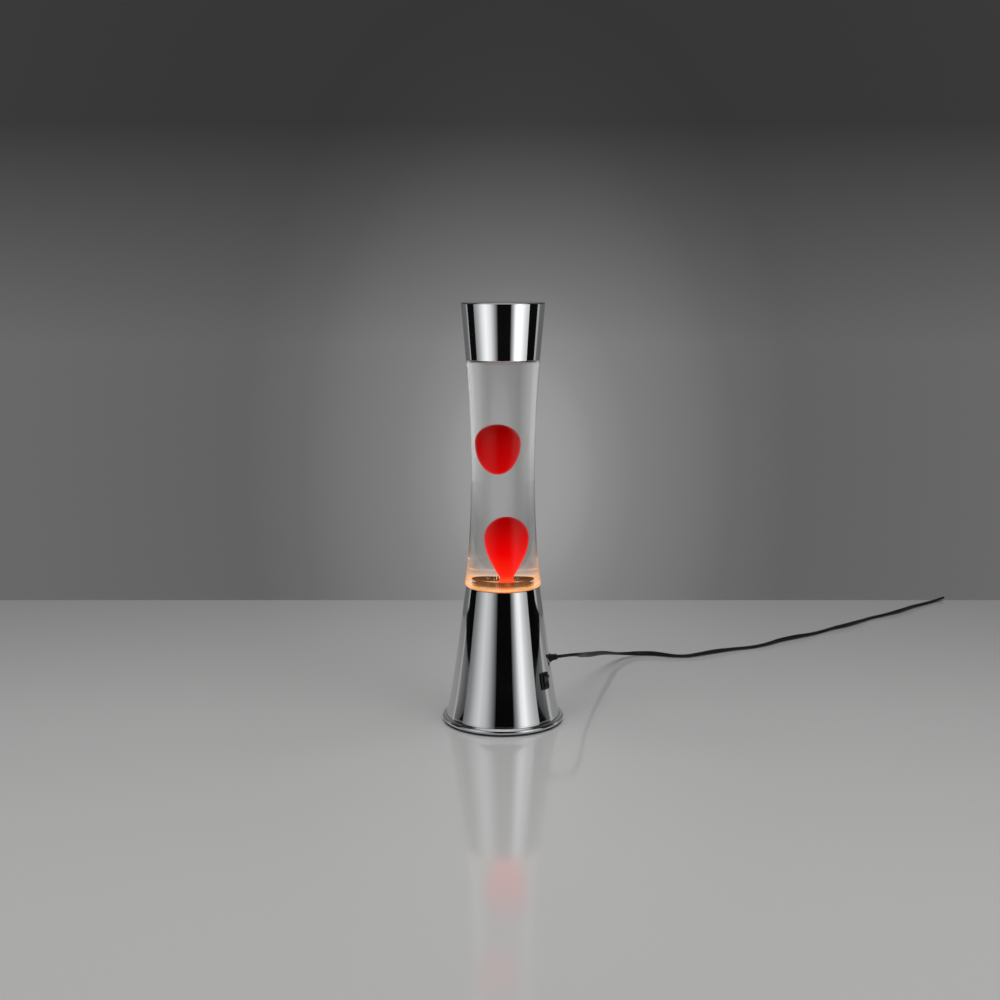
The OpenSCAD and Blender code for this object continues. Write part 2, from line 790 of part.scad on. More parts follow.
// Route of the cord after its exit, as [x, y, z, roll]: out, down to the table and back along it
cord_route = [
    [57.7, 5.5, 60, 10], [63.1, 8.1, 59.9, 20], [67.6, 12.1, 59.2, 25], [71.3, 18, 57.8, 30],
    [75, 29.4, 54.5, 45], [78, 43, 50.5, 60], [82, 71, 43, 80], [91, 105, 34, 90],
    [101, 138, 26, 70],
    [112, 168, 18, 40], [124, 195, 10, 20], [136, 211, 5.5, 40], [150, 220, 3.2, 80],
    [166, 221, 2.8, 90], [179, 217, 2.6, 60], [191, 214, 2.2, 30], [203, 214, 2.2, 30],
    [216, 219, 2.5, 50], [238, 231, 2.7, 70], [260, 243, 2.2, 30], [281, 252, 1.8, 10],
    [300, 263, 2.3, 40], [319, 279, 2.7, 70], [340, 294, 2.7, 70], [359, 307, 2.3, 40],
    [376, 322, 1.8, 10], [393, 336, 2.3, 40], [411, 348, 2.7, 70], [431, 367, 2.5, 50],
    [450, 387, 1.8, 10], [471, 402, 2.1, 30], [494, 419, 2.7, 70], [519, 445, 2.4, 50],
    [548, 471, 1.8, 10], [573, 492, 2.8, 50]
];
coil_x = 580;
coil_y = 540;
tie_t = 0.6;
coil_w = coil_turns * (cord_t + 0.2);
coil_low = tie_t;
coil_h = 2 * cord_w + 0.1;
coil_out_r = coil_r + coil_w / 2;
coil_join_r = coil_out_r - cord_t / 2 - 0.1;
coil_turn = -56;
lead_dir = [cos(coil_turn + 90), sin(coil_turn + 90), 0];
coil_join = [coil_x + coil_join_r * cos(coil_turn), coil_y + coil_join_r * sin(coil_turn), 0];
lead_len = 24;
plug_z = 6.9;

module power_cord() {
    start = exit_point(relief_flange_t + relief_out);
    low_z = coil_low + cord_w / 2;
    high_z = low_z + cord_w;
    arrive = [
        with_roll(coil_join - 6 * lead_dir + [0, 0, low_z], 90),
        with_roll(coil_join + [0, 0, low_z], 90)
    ];
    leave = [
        with_roll(coil_join + [0, 0, high_z], 90),
        with_roll(coil_join + lead_len / 2 * lead_dir + [0, 0, high_z - 0.3], 60),
        with_roll(coil_join + lead_len * lead_dir + [0, 0, plug_z], 0)
    ];
    color([0.05, 0.05, 0.05]) {
        oval_tube(smooth(concat([with_roll(start, 0)], cord_route, arrive), 2), cord_w, cord_t, 8);
        oval_tube(smooth(leave, 2), cord_w, cord_t, 8);
    }
}

module cord_coil() {
    round_r = 1.5;
    low = [coil_r, coil_low + round_r];
    color([0.06, 0.06, 0.06])
    translate([coil_x, coil_y, 0])
        rotate_extrude()
            polygon(concat(
                arc(low + [coil_w / 2 - round_r, 0], round_r, -90, 0, 3),
                arc(low + [coil_w / 2 - round_r, coil_h - 2 * round_r], round_r, 0, 90, 3),
                arc(low + [-coil_w / 2 + round_r, coil_h - 2 * round_r], round_r, 90, 180, 3),
                arc(low + [-coil_w / 2 + round_r, 0], round_r, 180, 270, 3)
            ));
}

module coil_tie() {
    tie_w = 5;
    in_w = coil_w + 2 * skin_gap;
    color([0.1, 0.1, 0.1])
    translate([coil_x, coil_y, 0])
        rotate([0, 0, 90])
            translate([coil_r, 0, 0])
                difference() {
                    translate([-in_w / 2 - tie_t, -tie_w / 2, 0])
                        cube([in_w + 2 * tie_t, tie_w, coil_h + 2 * tie_t]);
                    translate([-in_w / 2, -tie_w, tie_t]) cube([in_w, 2 * tie_w, coil_h]);
                }
}

plug_len = 37;
plug_w = 35.3;
plug_h = 13.8;

// Moves to the plug's own frame: +X along its pins, its cord entry at x = 0
module at_plug() {
    translate([
        coil_join[0] + lead_len * lead_dir[0],
        coil_join[1] + lead_len * lead_dir[1],
        plug_z
    ])
        rotate([0, 0, coil_turn + 90]) children();
}

module plug_body() {
    boot_w = 9;
    boot_len = 12;
    color([0.05, 0.05, 0.05])
    at_plug()
        intersection() {
            translate([0, 0, -plug_h / 2])
                linear_extrude(height = plug_h)
                    polygon([
                        [0, -boot_w / 2 + 1], [boot_len, -boot_w / 2], [plug_len - 14, -plug_w / 2 + 4],
                        [plug_len - 5, -plug_w / 2], [plug_len, -plug_w / 2], [plug_len, plug_w / 2],
                        [plug_len - 5, plug_w / 2], [plug_len - 14, plug_w / 2 - 4],
                        [boot_len, boot_w / 2], [0, boot_w / 2 - 1]
                    ]);
            translate([0, plug_w, 0])
                rotate([90, 0, 0])
                    linear_extrude(height = 2 * plug_w)
                        polygon([
                            [0, -3.2], [boot_len, -4.5], [plug_len - 14, -plug_h / 2],
                            [plug_len, -plug_h / 2], [plug_len, plug_h / 2],
                            [plug_len - 14, plug_h / 2], [boot_len, 4.5], [0, 3.2]
                        ]);
        }
}

module plug_pins() {
    color("silver")
    at_plug()
        for (side = [-1, 1])
            translate([plug_len, side * pin_pitch / 2, 0])
                rotate([0, 90, 0])
                    union() {
                        cylinder(r = pin_r, h = pin_len - pin_r);
                        translate([0, 0, pin_len - pin_r]) sphere(r = pin_r);
                    }
}

// ---- Bottle ----

land_r = shoulder_r - cap_hem - 0.5;
land_h = 2;
dome_r = 8;
dome_z = ledge_z + land_h;
heel_round = 2;
neck_out_r = finish_r - 0.7;
finish_h = 4;
corner_r = 4;

// Inside of the bottle below its shoulder, shrunk by gap, from the floor's centre up the wall
function bottle_wall(gap, z_end) =
    let (
        wall_z = floor_z + corner_r,
        wall_r = glass_r(wall_z) - glass_t - gap
    )
    concat(
        [[0, floor_z + gap]],
        arc([wall_r - corner_r, wall_z + gap], corner_r, -90, 0, 4),
        [for (z = heights(wall_z + 3, z_end, profile_steps)) [glass_r(z) - glass_t - gap, z]]
    );

module glass_bottle() {
    band_z = seat_z + heel_band_h;
    foot_r = lip_r - foot_gap;
    outer = concat(
        [[0, under_z], [foot_r - foot_ring_t, under_z], [foot_r - foot_ring_t, foot_z + 1],
         [foot_r - foot_ring_t + 1, foot_z], [foot_r - 1, foot_z], [foot_r, foot_z + 1],
         [foot_r, seat_z]],
        arc([glass_r(seat_z + heel_round) + heel_step - heel_round, seat_z + heel_round],
            heel_round, -90, 0, 4),
        [for (z = heights(seat_z + heel_round + 2, band_z - 0.6, 2)) [glass_r(z) + heel_step, z]],
        [for (z = heights(band_z, ledge_z - 1.5, 2 * profile_steps)) [glass_r(z), z]],
        arc([shoulder_r - 1.2, ledge_z - 1], 1, 0, 90, 3),
        [[land_r, ledge_z]],
        arc([land_r - dome_r, dome_z], dome_r, 0, 90, 6),
        [[neck_out_r + 3, dome_z + dome_r + 3], [neck_out_r, dome_z + dome_r + 5],
         [neck_out_r, neck_z - finish_h - 0.7], [finish_r, neck_z - finish_h],
         [finish_r, neck_z - 1], [finish_r - 1, neck_z], [0, neck_z]]
    );
    inner = concat(
        bottle_wall(0, ledge_z - 1),
        arc([land_r - dome_r, dome_z], dome_r - glass_t, 0, 90, 4),
        [[mouth_r + 3, dome_z + dome_r - glass_t + 2.5], [mouth_r, dome_z + dome_r + 4],
         [mouth_r, neck_z + 1], [0, neck_z + 1]]
    );
    color([0.85, 0.9, 0.92, 0.35])
    difference() {
        rotate_extrude() polygon(outer);
        rotate_extrude() polygon(inner);
    }
}

// Outline of the floating blob grown by gap: half an ellipse above, a longer one below
function blob_outline(gap) =
    concat(
        [for (i = [0:9]) let (a = -90 + 10 * i)
            [(blob_r + gap) * cos(a), (blob_bottom + gap) * sin(a)]],
        [for (i = [1:8]) let (a = 90 * i / 8)
            [(blob_r + gap) * cos(a), (blob_top + gap) * sin(a)]]
    );

// Outline of the rising column grown by gap: a flared foot, a neck and an oval head
function column_outline(gap) =
    let (
        neck_low = floor_z + column_foot_h,
        stem = column_z - neck_low,
        foot = [for (i = [0:4]) let (s = 1 - i / 4)
            [column_neck_r + (column_foot_r - column_neck_r) * (1 - sqrt(1 - s * s)) + gap,
             floor_z + column_foot_h * (1 - s)]],
        body = [for (i = [1:10]) let (t = 1 - i / 10)
            [column_neck_r + (column_r - column_neck_r) * cos(90 * t) + gap, column_z - stem * t]],
        head = [for (i = [1:9]) let (a = 10 * i)
            [(column_r + gap) * cos(a), column_z + (column_top + gap) * sin(a)]]
    )
    concat([[0, floor_z]], foot, body, head);

liquid_gap = 0.05;

module carrier_liquid() {
    color([0.9, 0.92, 0.9, 0.15])
    difference() {
        rotate_extrude() polygon(concat(bottle_wall(liquid_gap, liquid_z), [[0, liquid_z]]));
        translate([-blob_left, 0, blob_z]) rotate_extrude() polygon(blob_outline(fit_gap));
        translate([column_right, 0, 0]) rotate_extrude() polygon(column_outline(liquid_gap));
        rotate_extrude()
            translate([ring_r, floor_z + ring_wire_r]) circle(r = ring_wire_r + liquid_gap);
    }
}

module wax_blob() {
    color("red")
    translate([-blob_left, 0, blob_z]) rotate_extrude() polygon(blob_outline(0));
}

module wax_column() {
    color("red")
    translate([column_right, 0, 0]) rotate_extrude() polygon(column_outline(0));
}

module heating_coil() {
    color("peru")
    rotate_extrude() translate([ring_r, floor_z + ring_wire_r]) circle(r = ring_wire_r);
}

crown_t = 0.3;
liner_t = 0.8;
crown_skirt = 5;
flute_count = 21;

module crown_cap() {
    crown_top = neck_z + liner_t + crown_t;
    inner_r = finish_r + 0.15;
    flute_r = 1.1;
    color("gold")
    difference() {
        union() {
            translate([0, 0, crown_top - crown_skirt]) cylinder(r = inner_r + crown_t, h = crown_skirt);
            for (i = [0:flute_count - 1])
                rotate([0, 0, i * 360 / flute_count])
                    translate([inner_r, 0, crown_top - crown_skirt])
                        cylinder(r = flute_r, h = crown_skirt - 1.2, $fn = 16);
        }
        translate([0, 0, crown_top - crown_skirt - 1]) cylinder(r = inner_r, h = crown_skirt + 1 - crown_t);
    }
}

module crown_liner() {
    color("ivory")
    translate([0, 0, neck_z]) cylinder(r = finish_r - 0.5, h = liner_t);
}

// ---- Top cap ----

module top_cap() {
    color("silver")
    rotate_extrude()
        polygon(concat(
            [[cap_low_r - cap_hem, ledge_z], [cap_low_r, ledge_z]],
            arc([cap_top_r - cap_edge, top_z - cap_edge], cap_edge, 0, 90, 5),
            [[0, top_z], [0, top_z - cap_t]],
            arc([cap_top_r - cap_edge, top_z - cap_edge], cap_edge - cap_t, 90, 0, 3),
            [[cap_low_r - cap_t, ledge_z + 1.2], [cap_low_r - cap_hem, ledge_z + 1.2]]
        ));
}

base_shell();
shell_lugs();
base_plate();
plate_screws();
rubber_feet();
holder_bracket();
bracket_screws();
bracket_nuts();
holder_nipple();
nipple_nuts();
lamp_holder();
holder_sleeve();
holder_contact();
bulb_glass();
bulb_cap();
bulb_insulator();
bulb_contact();
bulb_stem();
bulb_filament();
switch_housing();
switch_rocker();
switch_terminals();
wire_live();
wire_switched();
wire_neutral();
strain_relief();
power_cord();
cord_coil();
coil_tie();
plug_body();
plug_pins();
glass_bottle();
carrier_liquid();
wax_blob();
wax_column();
heating_coil();
crown_cap();
crown_liner();
top_cap();
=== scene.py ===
"""Looks of a wax motion lamp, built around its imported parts.

Metres, origin at the bottom centre of the base, +Z up, the front of the lamp towards -Y.
Every shape is worked out with numpy as a turned profile, a swept section or a stack of loops.
"""

import logging
import math
from dataclasses import dataclass, field
from enum import Enum

import bpy
import numpy as np
from mathutils import Matrix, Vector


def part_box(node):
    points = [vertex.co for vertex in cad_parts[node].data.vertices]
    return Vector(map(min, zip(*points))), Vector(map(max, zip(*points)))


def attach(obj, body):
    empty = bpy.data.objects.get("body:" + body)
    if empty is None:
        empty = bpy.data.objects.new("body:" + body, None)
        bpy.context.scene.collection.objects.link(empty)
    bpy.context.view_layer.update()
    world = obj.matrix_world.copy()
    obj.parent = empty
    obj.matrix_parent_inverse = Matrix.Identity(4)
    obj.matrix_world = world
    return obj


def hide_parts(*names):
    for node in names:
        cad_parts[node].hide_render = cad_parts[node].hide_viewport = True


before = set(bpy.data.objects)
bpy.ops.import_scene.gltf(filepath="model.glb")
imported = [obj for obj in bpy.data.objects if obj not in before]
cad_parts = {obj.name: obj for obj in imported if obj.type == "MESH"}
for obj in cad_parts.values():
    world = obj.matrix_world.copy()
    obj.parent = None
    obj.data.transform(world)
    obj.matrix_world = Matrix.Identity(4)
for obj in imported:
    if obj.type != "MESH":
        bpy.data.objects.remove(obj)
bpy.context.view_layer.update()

LOG = logging.getLogger("motion_lamp")
Array = np.ndarray
NEAR_ZERO = 1e-9


# ---------------------------------------------------------------------------
# Shapes
# ---------------------------------------------------------------------------


def arc(centre: tuple[float, float], radius: float, start: float, stop: float, steps: int) -> Array:
    """Points of a circular arc: centre + radius * (cos a, sin a), a running from start to stop.

    Args:
        centre: Centre of the arc in its plane.
        radius: Radius in metres.
        start: First angle in degrees.
        stop: Last angle in degrees.
        steps: Number of equal steps between the two angles.

    Returns:
        The points, one row each.
    """
    angle = np.radians(np.linspace(start, stop, steps + 1))
    return np.array(centre) + radius * np.column_stack([np.cos(angle), np.sin(angle)])


def full_turn(sides: int) -> Array:
    """Angles of one whole turn in radians, the last one left out."""
    return np.arange(sides) * (2 * math.pi / sides)


def turned(profile: Array, angles: Array,
           open_cells: Array | None = None) -> tuple[Array, Array]:
    """Turns a profile of (radius, height) about Z: x = r cos a, y = r sin a, z = h.

    Rows on the axis become one point. The profile runs up the outside, so faces point outwards.

    Args:
        profile: Points as (radius, height); a ring-shaped section repeats its first point last.
        angles: Angles of the grid's columns, in radians.
        open_cells: True where a cell of the grid is left out, or None.

    Returns:
        The vertices, and the faces as quads in which a triangle repeats a vertex.
    """
    rows, columns = len(profile), len(angles)
    closed = bool(np.allclose(profile[0], profile[-1]) and profile[0][0] > 0)
    radius, height = profile[:, 0:1], profile[:, 1:2]
    grid = np.stack([radius * np.cos(angles), radius * np.sin(angles), height + 0 * angles], axis=2)
    index = np.arange(rows * columns).reshape(rows, columns)
    on_axis = profile[:, 0] < NEAR_ZERO
    index[on_axis] = index[on_axis][:, :1]
    if closed:
        index[-1] = index[0]
    ahead = np.roll(index, -1, axis=1)
    quads = np.stack([index[:-1], ahead[:-1], ahead[1:], index[1:]], axis=2)
    if open_cells is not None:
        quads = quads[~open_cells]
    return grid.reshape(-1, 3), quads.reshape(-1, 4)


def lofted(loops: Array) -> tuple[Array, Array]:
    """Joins a stack of closed loops of equal length by quads, and closes both ends with a fan.

    Args:
        loops: Array (loops, points, 3); each loop runs anticlockwise seen from the last one's side.

    Returns:
        The vertices and the faces.
    """
    count, points = loops.shape[:2]
    ends = np.stack([loops[0].mean(axis=0), loops[-1].mean(axis=0)])
    index = np.arange(count * points).reshape(count, points)
    first = np.full((1, points), count * points)
    rows = np.vstack([first, index, first + 1])
    ahead = np.roll(rows, -1, axis=1)
    quads = np.stack([rows[:-1], ahead[:-1], ahead[1:], rows[1:]], axis=2).reshape(-1, 4)
    return np.vstack([loops.reshape(-1, 3), ends]), quads


def directions(path: Array) -> Array:
    """Unit directions along a path: the step between a point's two neighbours over its length."""
    step = np.gradient(path, axis=0)
    return step / np.linalg.norm(step, axis=1, keepdims=True)


def swept(path: Array, roll: Array, width: float, thickness: float,
          sides: int) -> tuple[Array, Array]:
    """Carries an oval section along a path.

    The section lies in the plane across the path: half the width times cos b along the level side
    direction, half the thickness times sin b along the other, both turned by the roll.

    Args:
        path: Points (n, 3) of the middle line.
        roll: Turn of the section at each point, in radians.
        width: Width of the oval.
        thickness: Thickness of the oval.
        sides: Number of points round the oval.

    Returns:
        The vertices and the faces.
    """
    along = directions(path)
    side = np.cross(along, np.array([0.0, 0.0, 1.0]))
    side /= np.linalg.norm(side, axis=1, keepdims=True)
    top = np.cross(side, along)
    turn = full_turn(sides)
    u, v = width / 2 * np.cos(turn), thickness / 2 * np.sin(turn)
    c, s = np.cos(roll)[:, None], np.sin(roll)[:, None]
    across, up = u * c - v * s, u * s + v * c
    loops = path[:, None] + side[:, None] * across[..., None] + top[:, None] * up[..., None]
    return lofted(loops)


def smooth_path(points: Array, steps: int) -> Array:
    """Catmull-Rom curve through points; extra columns are carried too.

    Each span is the cubic whose end slopes are half the step between the neighbours.

    Args:
        points: Points (n, 3 or more) that the curve passes through.
        steps: Number of steps to each span.

    Returns:
        The points of the curve.
    """
    ahead = np.vstack([points[:1], points, points[-1:]])
    a, b, c, d = ahead[:-3, None], ahead[1:-2, None], ahead[2:-1, None], ahead[3:, None]
    t = (np.arange(steps) / steps)[None, :, None]
    curve = 0.5 * (2 * b + (c - a) * t + (2 * a - 5 * b + 4 * c - d) * t**2
                   + (3 * b - a - 3 * c + d) * t**3)
    return np.vstack([curve.reshape(-1, points.shape[1]), points[-1:]])


def rounded_rectangle(width: float, height: float, corner: float, steps: int) -> Array:
    """Outline of a rectangle with round corners, anticlockwise from the right-hand side.

    Four quarter circles, each about a corner's centre, joined by the straight sides.

    Args:
        width: Whole width.
        height: Whole height.
        corner: Radius of the corners.
        steps: Number of steps to each corner.

    Returns:
        The outline's points, one row each.
    """
    w, h = width / 2 - corner, height / 2 - corner
    centres = [(w, -h, -90), (w, h, 0), (-w, h, 90), (-w, -h, 180)]
    return np.vstack([arc((x, y), corner, a, a + 90, steps) for x, y, a in centres])


def build_mesh(name: str, shape: tuple[Array, Array], sharp: float = 35.0) -> bpy.types.Object:
    """Puts vertices and faces into a new smooth-shaded object at the origin.

    Args:
        name: Name of the object and its mesh.
        shape: Vertices (n, 3), and quads (m, 4) in which a triangle repeats a vertex.
        sharp: Angle in degrees past which an edge is shaded sharp.

    Returns:
        The new object.
    """
    vertices, quads = shape
    order = [list(dict.fromkeys(face)) for face in quads.tolist()]
    faces = [face for face in order if len(face) > 2]
    used, renumbered = np.unique(np.concatenate([np.array(f) for f in faces]), return_inverse=True)
    starts = np.cumsum([0] + [len(f) for f in faces])
    mesh = bpy.data.meshes.new(name)
    mesh.from_pydata(
        vertices[used].tolist(), [],
        [renumbered[a:b].tolist() for a, b in zip(starts[:-1], starts[1:])],
    )
    mesh.polygons.foreach_set("use_smooth", np.ones(len(mesh.polygons), dtype=bool))
    mesh.update()
    mesh.set_sharp_from_angle(angle=math.radians(sharp))
    piece = bpy.data.objects.new(name, mesh)
    bpy.context.scene.collection.objects.link(piece)
    return piece


def place(shape: tuple[Array, Array], matrix: Matrix) -> tuple[Array, Array]:
    """Moves a shape's vertices by a matrix, so that its object can stay at the origin.

    Args:
        shape: Vertices and faces.
        matrix: The move.

    Returns:
        The moved vertices and the same faces.
    """
    vertices, faces = shape
    m = np.array(matrix)
    return vertices @ m[:3, :3].T + m[:3, 3], faces


def joined(*shapes: tuple[Array, Array]) -> tuple[Array, Array]:
    """Puts several shapes into one, each keeping its own faces.

    Args:
        *shapes: Vertices and faces of each shape.

    Returns:
        All vertices, and all faces numbered anew.
    """
    counts = np.cumsum([0] + [len(v) for v, _ in shapes])
    vertices = np.vstack([v for v, _ in shapes])
    return vertices, np.vstack([f + n for (_, f), n in zip(shapes, counts)])


# ---------------------------------------------------------------------------
# Shader tools and shared effects
# ---------------------------------------------------------------------------


class Shader:
    """A material or node group that is being wired up."""

    def __init__(self, tree: bpy.types.NodeTree) -> None:
        """Keeps the node tree that nodes are added to."""
        self.tree = tree

    def node(self, kind: str, label: str = "", **settings: object) -> bpy.types.Node:
        """Adds a node.

        Args:
            kind: Blender's type name, such as ShaderNodeTexNoise.
            label: Label shown on the node.
            **settings: Properties to set on the node.

        Returns:
            The node.
        """
        node = self.tree.nodes.new(kind)
        node.label = label
        for key, value in settings.items():
            setattr(node, key, value)
        return node

    def link(self, source: bpy.types.NodeSocket, target: bpy.types.NodeSocket) -> None:
        """Joins an output to an input."""
        self.tree.links.new(source, target)

    def ramp(self, value: bpy.types.NodeSocket,
             stops: list[tuple[float, tuple]]) -> bpy.types.NodeSocket:
        """Adds a colour ramp that reads value.

        Args:
            value: Socket with a value from 0 to 1.
            stops: Places and their colours, from low to high.

        Returns:
            The ramp's colour.
        """
        node = self.node("ShaderNodeValToRGB")
        elements = node.color_ramp.elements
        while len(elements) < len(stops):
            elements.new(0.5)
        for element, (share, colour) in zip(elements, stops):
            element.position = share
            element.color = (*colour, 1.0)
        self.link(value, node.inputs["Fac"])
        return node.outputs["Color"]

    def position(self) -> bpy.types.NodeSocket:
        """Place on the piece, in its own coordinates."""
        return self.node("ShaderNodeTexCoord").outputs["Object"]

    def split(self, vector: bpy.types.NodeSocket) -> dict[str, bpy.types.NodeSocket]:
        """The parts of a vector.

        Args:
            vector: Socket with the vector.

        Returns:
            The parts' sockets by the names X, Y and Z.
        """
        parts = self.node("ShaderNodeSeparateXYZ")
        self.link(vector, parts.inputs[0])
        return {axis: parts.outputs[axis] for axis in "XYZ"}

    def share(self, value: bpy.types.NodeSocket, given: tuple[float, float],
              wanted: tuple[float, float] = (0.0, 1.0)) -> bpy.types.NodeSocket:
        """Maps a value from one range to another and holds it at the ends.

        Args:
            value: Socket with the value.
            given: Range that the value comes in.
            wanted: Range that it leaves in.

        Returns:
            The mapped value.
        """
        mapped = self.node("ShaderNodeMapRange", clamp=True)
        self.link(value, mapped.inputs["Value"])
        for key, limit in zip(("From Min", "From Max", "To Min", "To Max"), (*given, *wanted)):
            mapped.inputs[key].default_value = limit
        return mapped.outputs["Result"]

    def height(self, low: float, high: float) -> bpy.types.NodeSocket:
        """Object height as a share, 0 at low and 1 at high, clamped."""
        return self.share(self.split(self.position())["Z"], (low, high))

    def reach(self, centre: tuple, weights: tuple) -> bpy.types.NodeSocket:
        """Distance from a centre: length of (place - centre) times the weights, axis by axis.

        Args:
            centre: The centre, in the piece's own coordinates.
            weights: Factor for the step along each axis.

        Returns:
            The distance.
        """
        value = self.position()
        for operation, operand in (("SUBTRACT", centre), ("MULTIPLY", weights)):
            step = self.node("ShaderNodeVectorMath", operation=operation)
            self.link(value, step.inputs[0])
            step.inputs[1].default_value = operand
            value = step.outputs["Vector"]
        length = self.node("ShaderNodeVectorMath", operation="LENGTH")
        self.link(value, length.inputs[0])
        return length.outputs["Value"]

    def joined(self, kind: str, *sources: bpy.types.NodeSocket,
               **settings: object) -> bpy.types.NodeSocket:
        """Adds a node and feeds its inputs.

        Args:
            kind: Blender's type name of the node.
            *sources: Sockets for its first inputs, in order.
            **settings: Properties to set on the node.

        Returns:
            The node's first output.
        """
        node = self.node(kind, **settings)
        for source, target in zip(sources, node.inputs):
            self.link(source, target)
        return node.outputs[0]

    def product(self, first: bpy.types.NodeSocket,
                second: bpy.types.NodeSocket) -> bpy.types.NodeSocket:
        """Product of two values."""
        return self.joined("ShaderNodeMath", first, second, operation="MULTIPLY")

    def emission(self, colour: bpy.types.NodeSocket | None,
                 strength: bpy.types.NodeSocket | float) -> bpy.types.NodeSocket:
        """Adds an emission shader.

        Args:
            colour: Socket with its colour, or None for white.
            strength: Its strength, as a number or a socket.

        Returns:
            The shader's output.
        """
        light = self.node("ShaderNodeEmission")
        if colour is not None:
            self.link(colour, light.inputs["Color"])
        if isinstance(strength, float):
            light.inputs["Strength"].default_value = strength
        else:
            self.link(strength, light.inputs["Strength"])
        return light.outputs[0]


def greys(stops: tuple) -> list[tuple[float, tuple]]:
    """Ramp stops of grey, from pairs of a place and a tone."""
    return [(share, (tone,) * 3) for share, tone in stops]


def new_group(name: str, inputs: dict[str, float],
              outputs: tuple[str, ...]) -> tuple[Shader, dict, dict]:
    """Starts a shader node group of plain values.

    Args:
        name: Name of the group.
        inputs: Input names and their default values.
        outputs: Output names.

    Returns:
        The group's shader, its input sockets and its output sockets by name.
    """
    tree = bpy.data.node_groups.new(name, "ShaderNodeTree")
    kind = "NodeSocketFloat"
    for key, value in inputs.items():
        socket = tree.interface.new_socket(key, in_out="INPUT", socket_type=kind)
        socket.default_value = value
    for key in outputs:
        tree.interface.new_socket(key, in_out="OUTPUT", socket_type=kind)
    start, end = tree.nodes.new("NodeGroupInput"), tree.nodes.new("NodeGroupOutput")
    shader = Shader(tree)
    return shader, {k: start.outputs[k] for k in inputs}, {k: end.inputs[k] for k in outputs}


CLOUD_LEVELS = (0.32, 0.68)
SPECK_LEVELS = (0.62, 0.72)
UPWARD_LEVELS = (0.1, 0.9)


def mottle_group() -> bpy.types.NodeTree:
    """Soft cloudy variation: a value from Low to High that follows layered noise of a Scale."""
    shader, given, wanted = new_group(
        "soft_mottle", {"Scale": 40.0, "Detail": 4.0, "Low": 0.0, "High": 1.0}, ("Value",))
    noise = shader.node("ShaderNodeTexNoise")
    shader.link(shader.position(), noise.inputs["Vector"])
    shader.link(given["Scale"], noise.inputs["Scale"])
    shader.link(given["Detail"], noise.inputs["Detail"])
    level = shader.share(noise.outputs["Fac"], CLOUD_LEVELS)
    shader.link(given["Low"], level.node.inputs["To Min"])
    shader.link(given["High"], level.node.inputs["To Max"])
    shader.link(level, wanted["Value"])
    return shader.tree


def pores_group() -> bpy.types.NodeTree:
    """Fine grain of moulded plastic: noise and cell distance of a Scale, added as a Height."""
    shader, given, wanted = new_group("moulded_grain", {"Scale": 900.0, "Cells": 0.5}, ("Height",))
    noise = shader.node("ShaderNodeTexNoise")
    cells = shader.node("ShaderNodeTexVoronoi")
    mix = shader.node("ShaderNodeMix", data_type="FLOAT")
    noise.inputs["Detail"].default_value = 3.0
    place_on = shader.position()
    for texture in (noise, cells):
        shader.link(place_on, texture.inputs["Vector"])
        shader.link(given["Scale"], texture.inputs["Scale"])
    shader.link(given["Cells"], mix.inputs["Factor"])
    shader.link(noise.outputs["Fac"], mix.inputs["A"])
    shader.link(cells.outputs["Distance"], mix.inputs["B"])
    shader.link(mix.outputs["Result"], wanted["Height"])
    return shader.tree


def dust_group() -> bpy.types.NodeTree:
    """Specks of dust on faces turned up: a mask from sharp noise times the upward normal."""
    shader, given, wanted = new_group(
        "settled_dust", {"Scale": 1200.0, "Amount": 0.3}, ("Mask",))
    noise = shader.node("ShaderNodeTexNoise")
    shader.link(shader.position(), noise.inputs["Vector"])
    shader.link(given["Scale"], noise.inputs["Scale"])
    specks = shader.share(noise.outputs["Fac"], SPECK_LEVELS)
    normal = shader.node("ShaderNodeNewGeometry").outputs["Normal"]
    upward = shader.share(shader.split(normal)["Z"], UPWARD_LEVELS)
    mask = shader.product(shader.product(specks, upward), given["Amount"])
    shader.link(mask, wanted["Mask"])
    return shader.tree


class Effect(Enum):
    """The shared effects, each a node group that is built once."""

    MOTTLE = "soft_mottle"
    GRAIN = "moulded_grain"
    DUST = "settled_dust"

    def tree(self) -> bpy.types.NodeTree:
        """The effect's node group, built on its first use."""
        makers = {Effect.MOTTLE: mottle_group, Effect.GRAIN: pores_group, Effect.DUST: dust_group}
        return bpy.data.node_groups.get(self.value) or makers[self]()


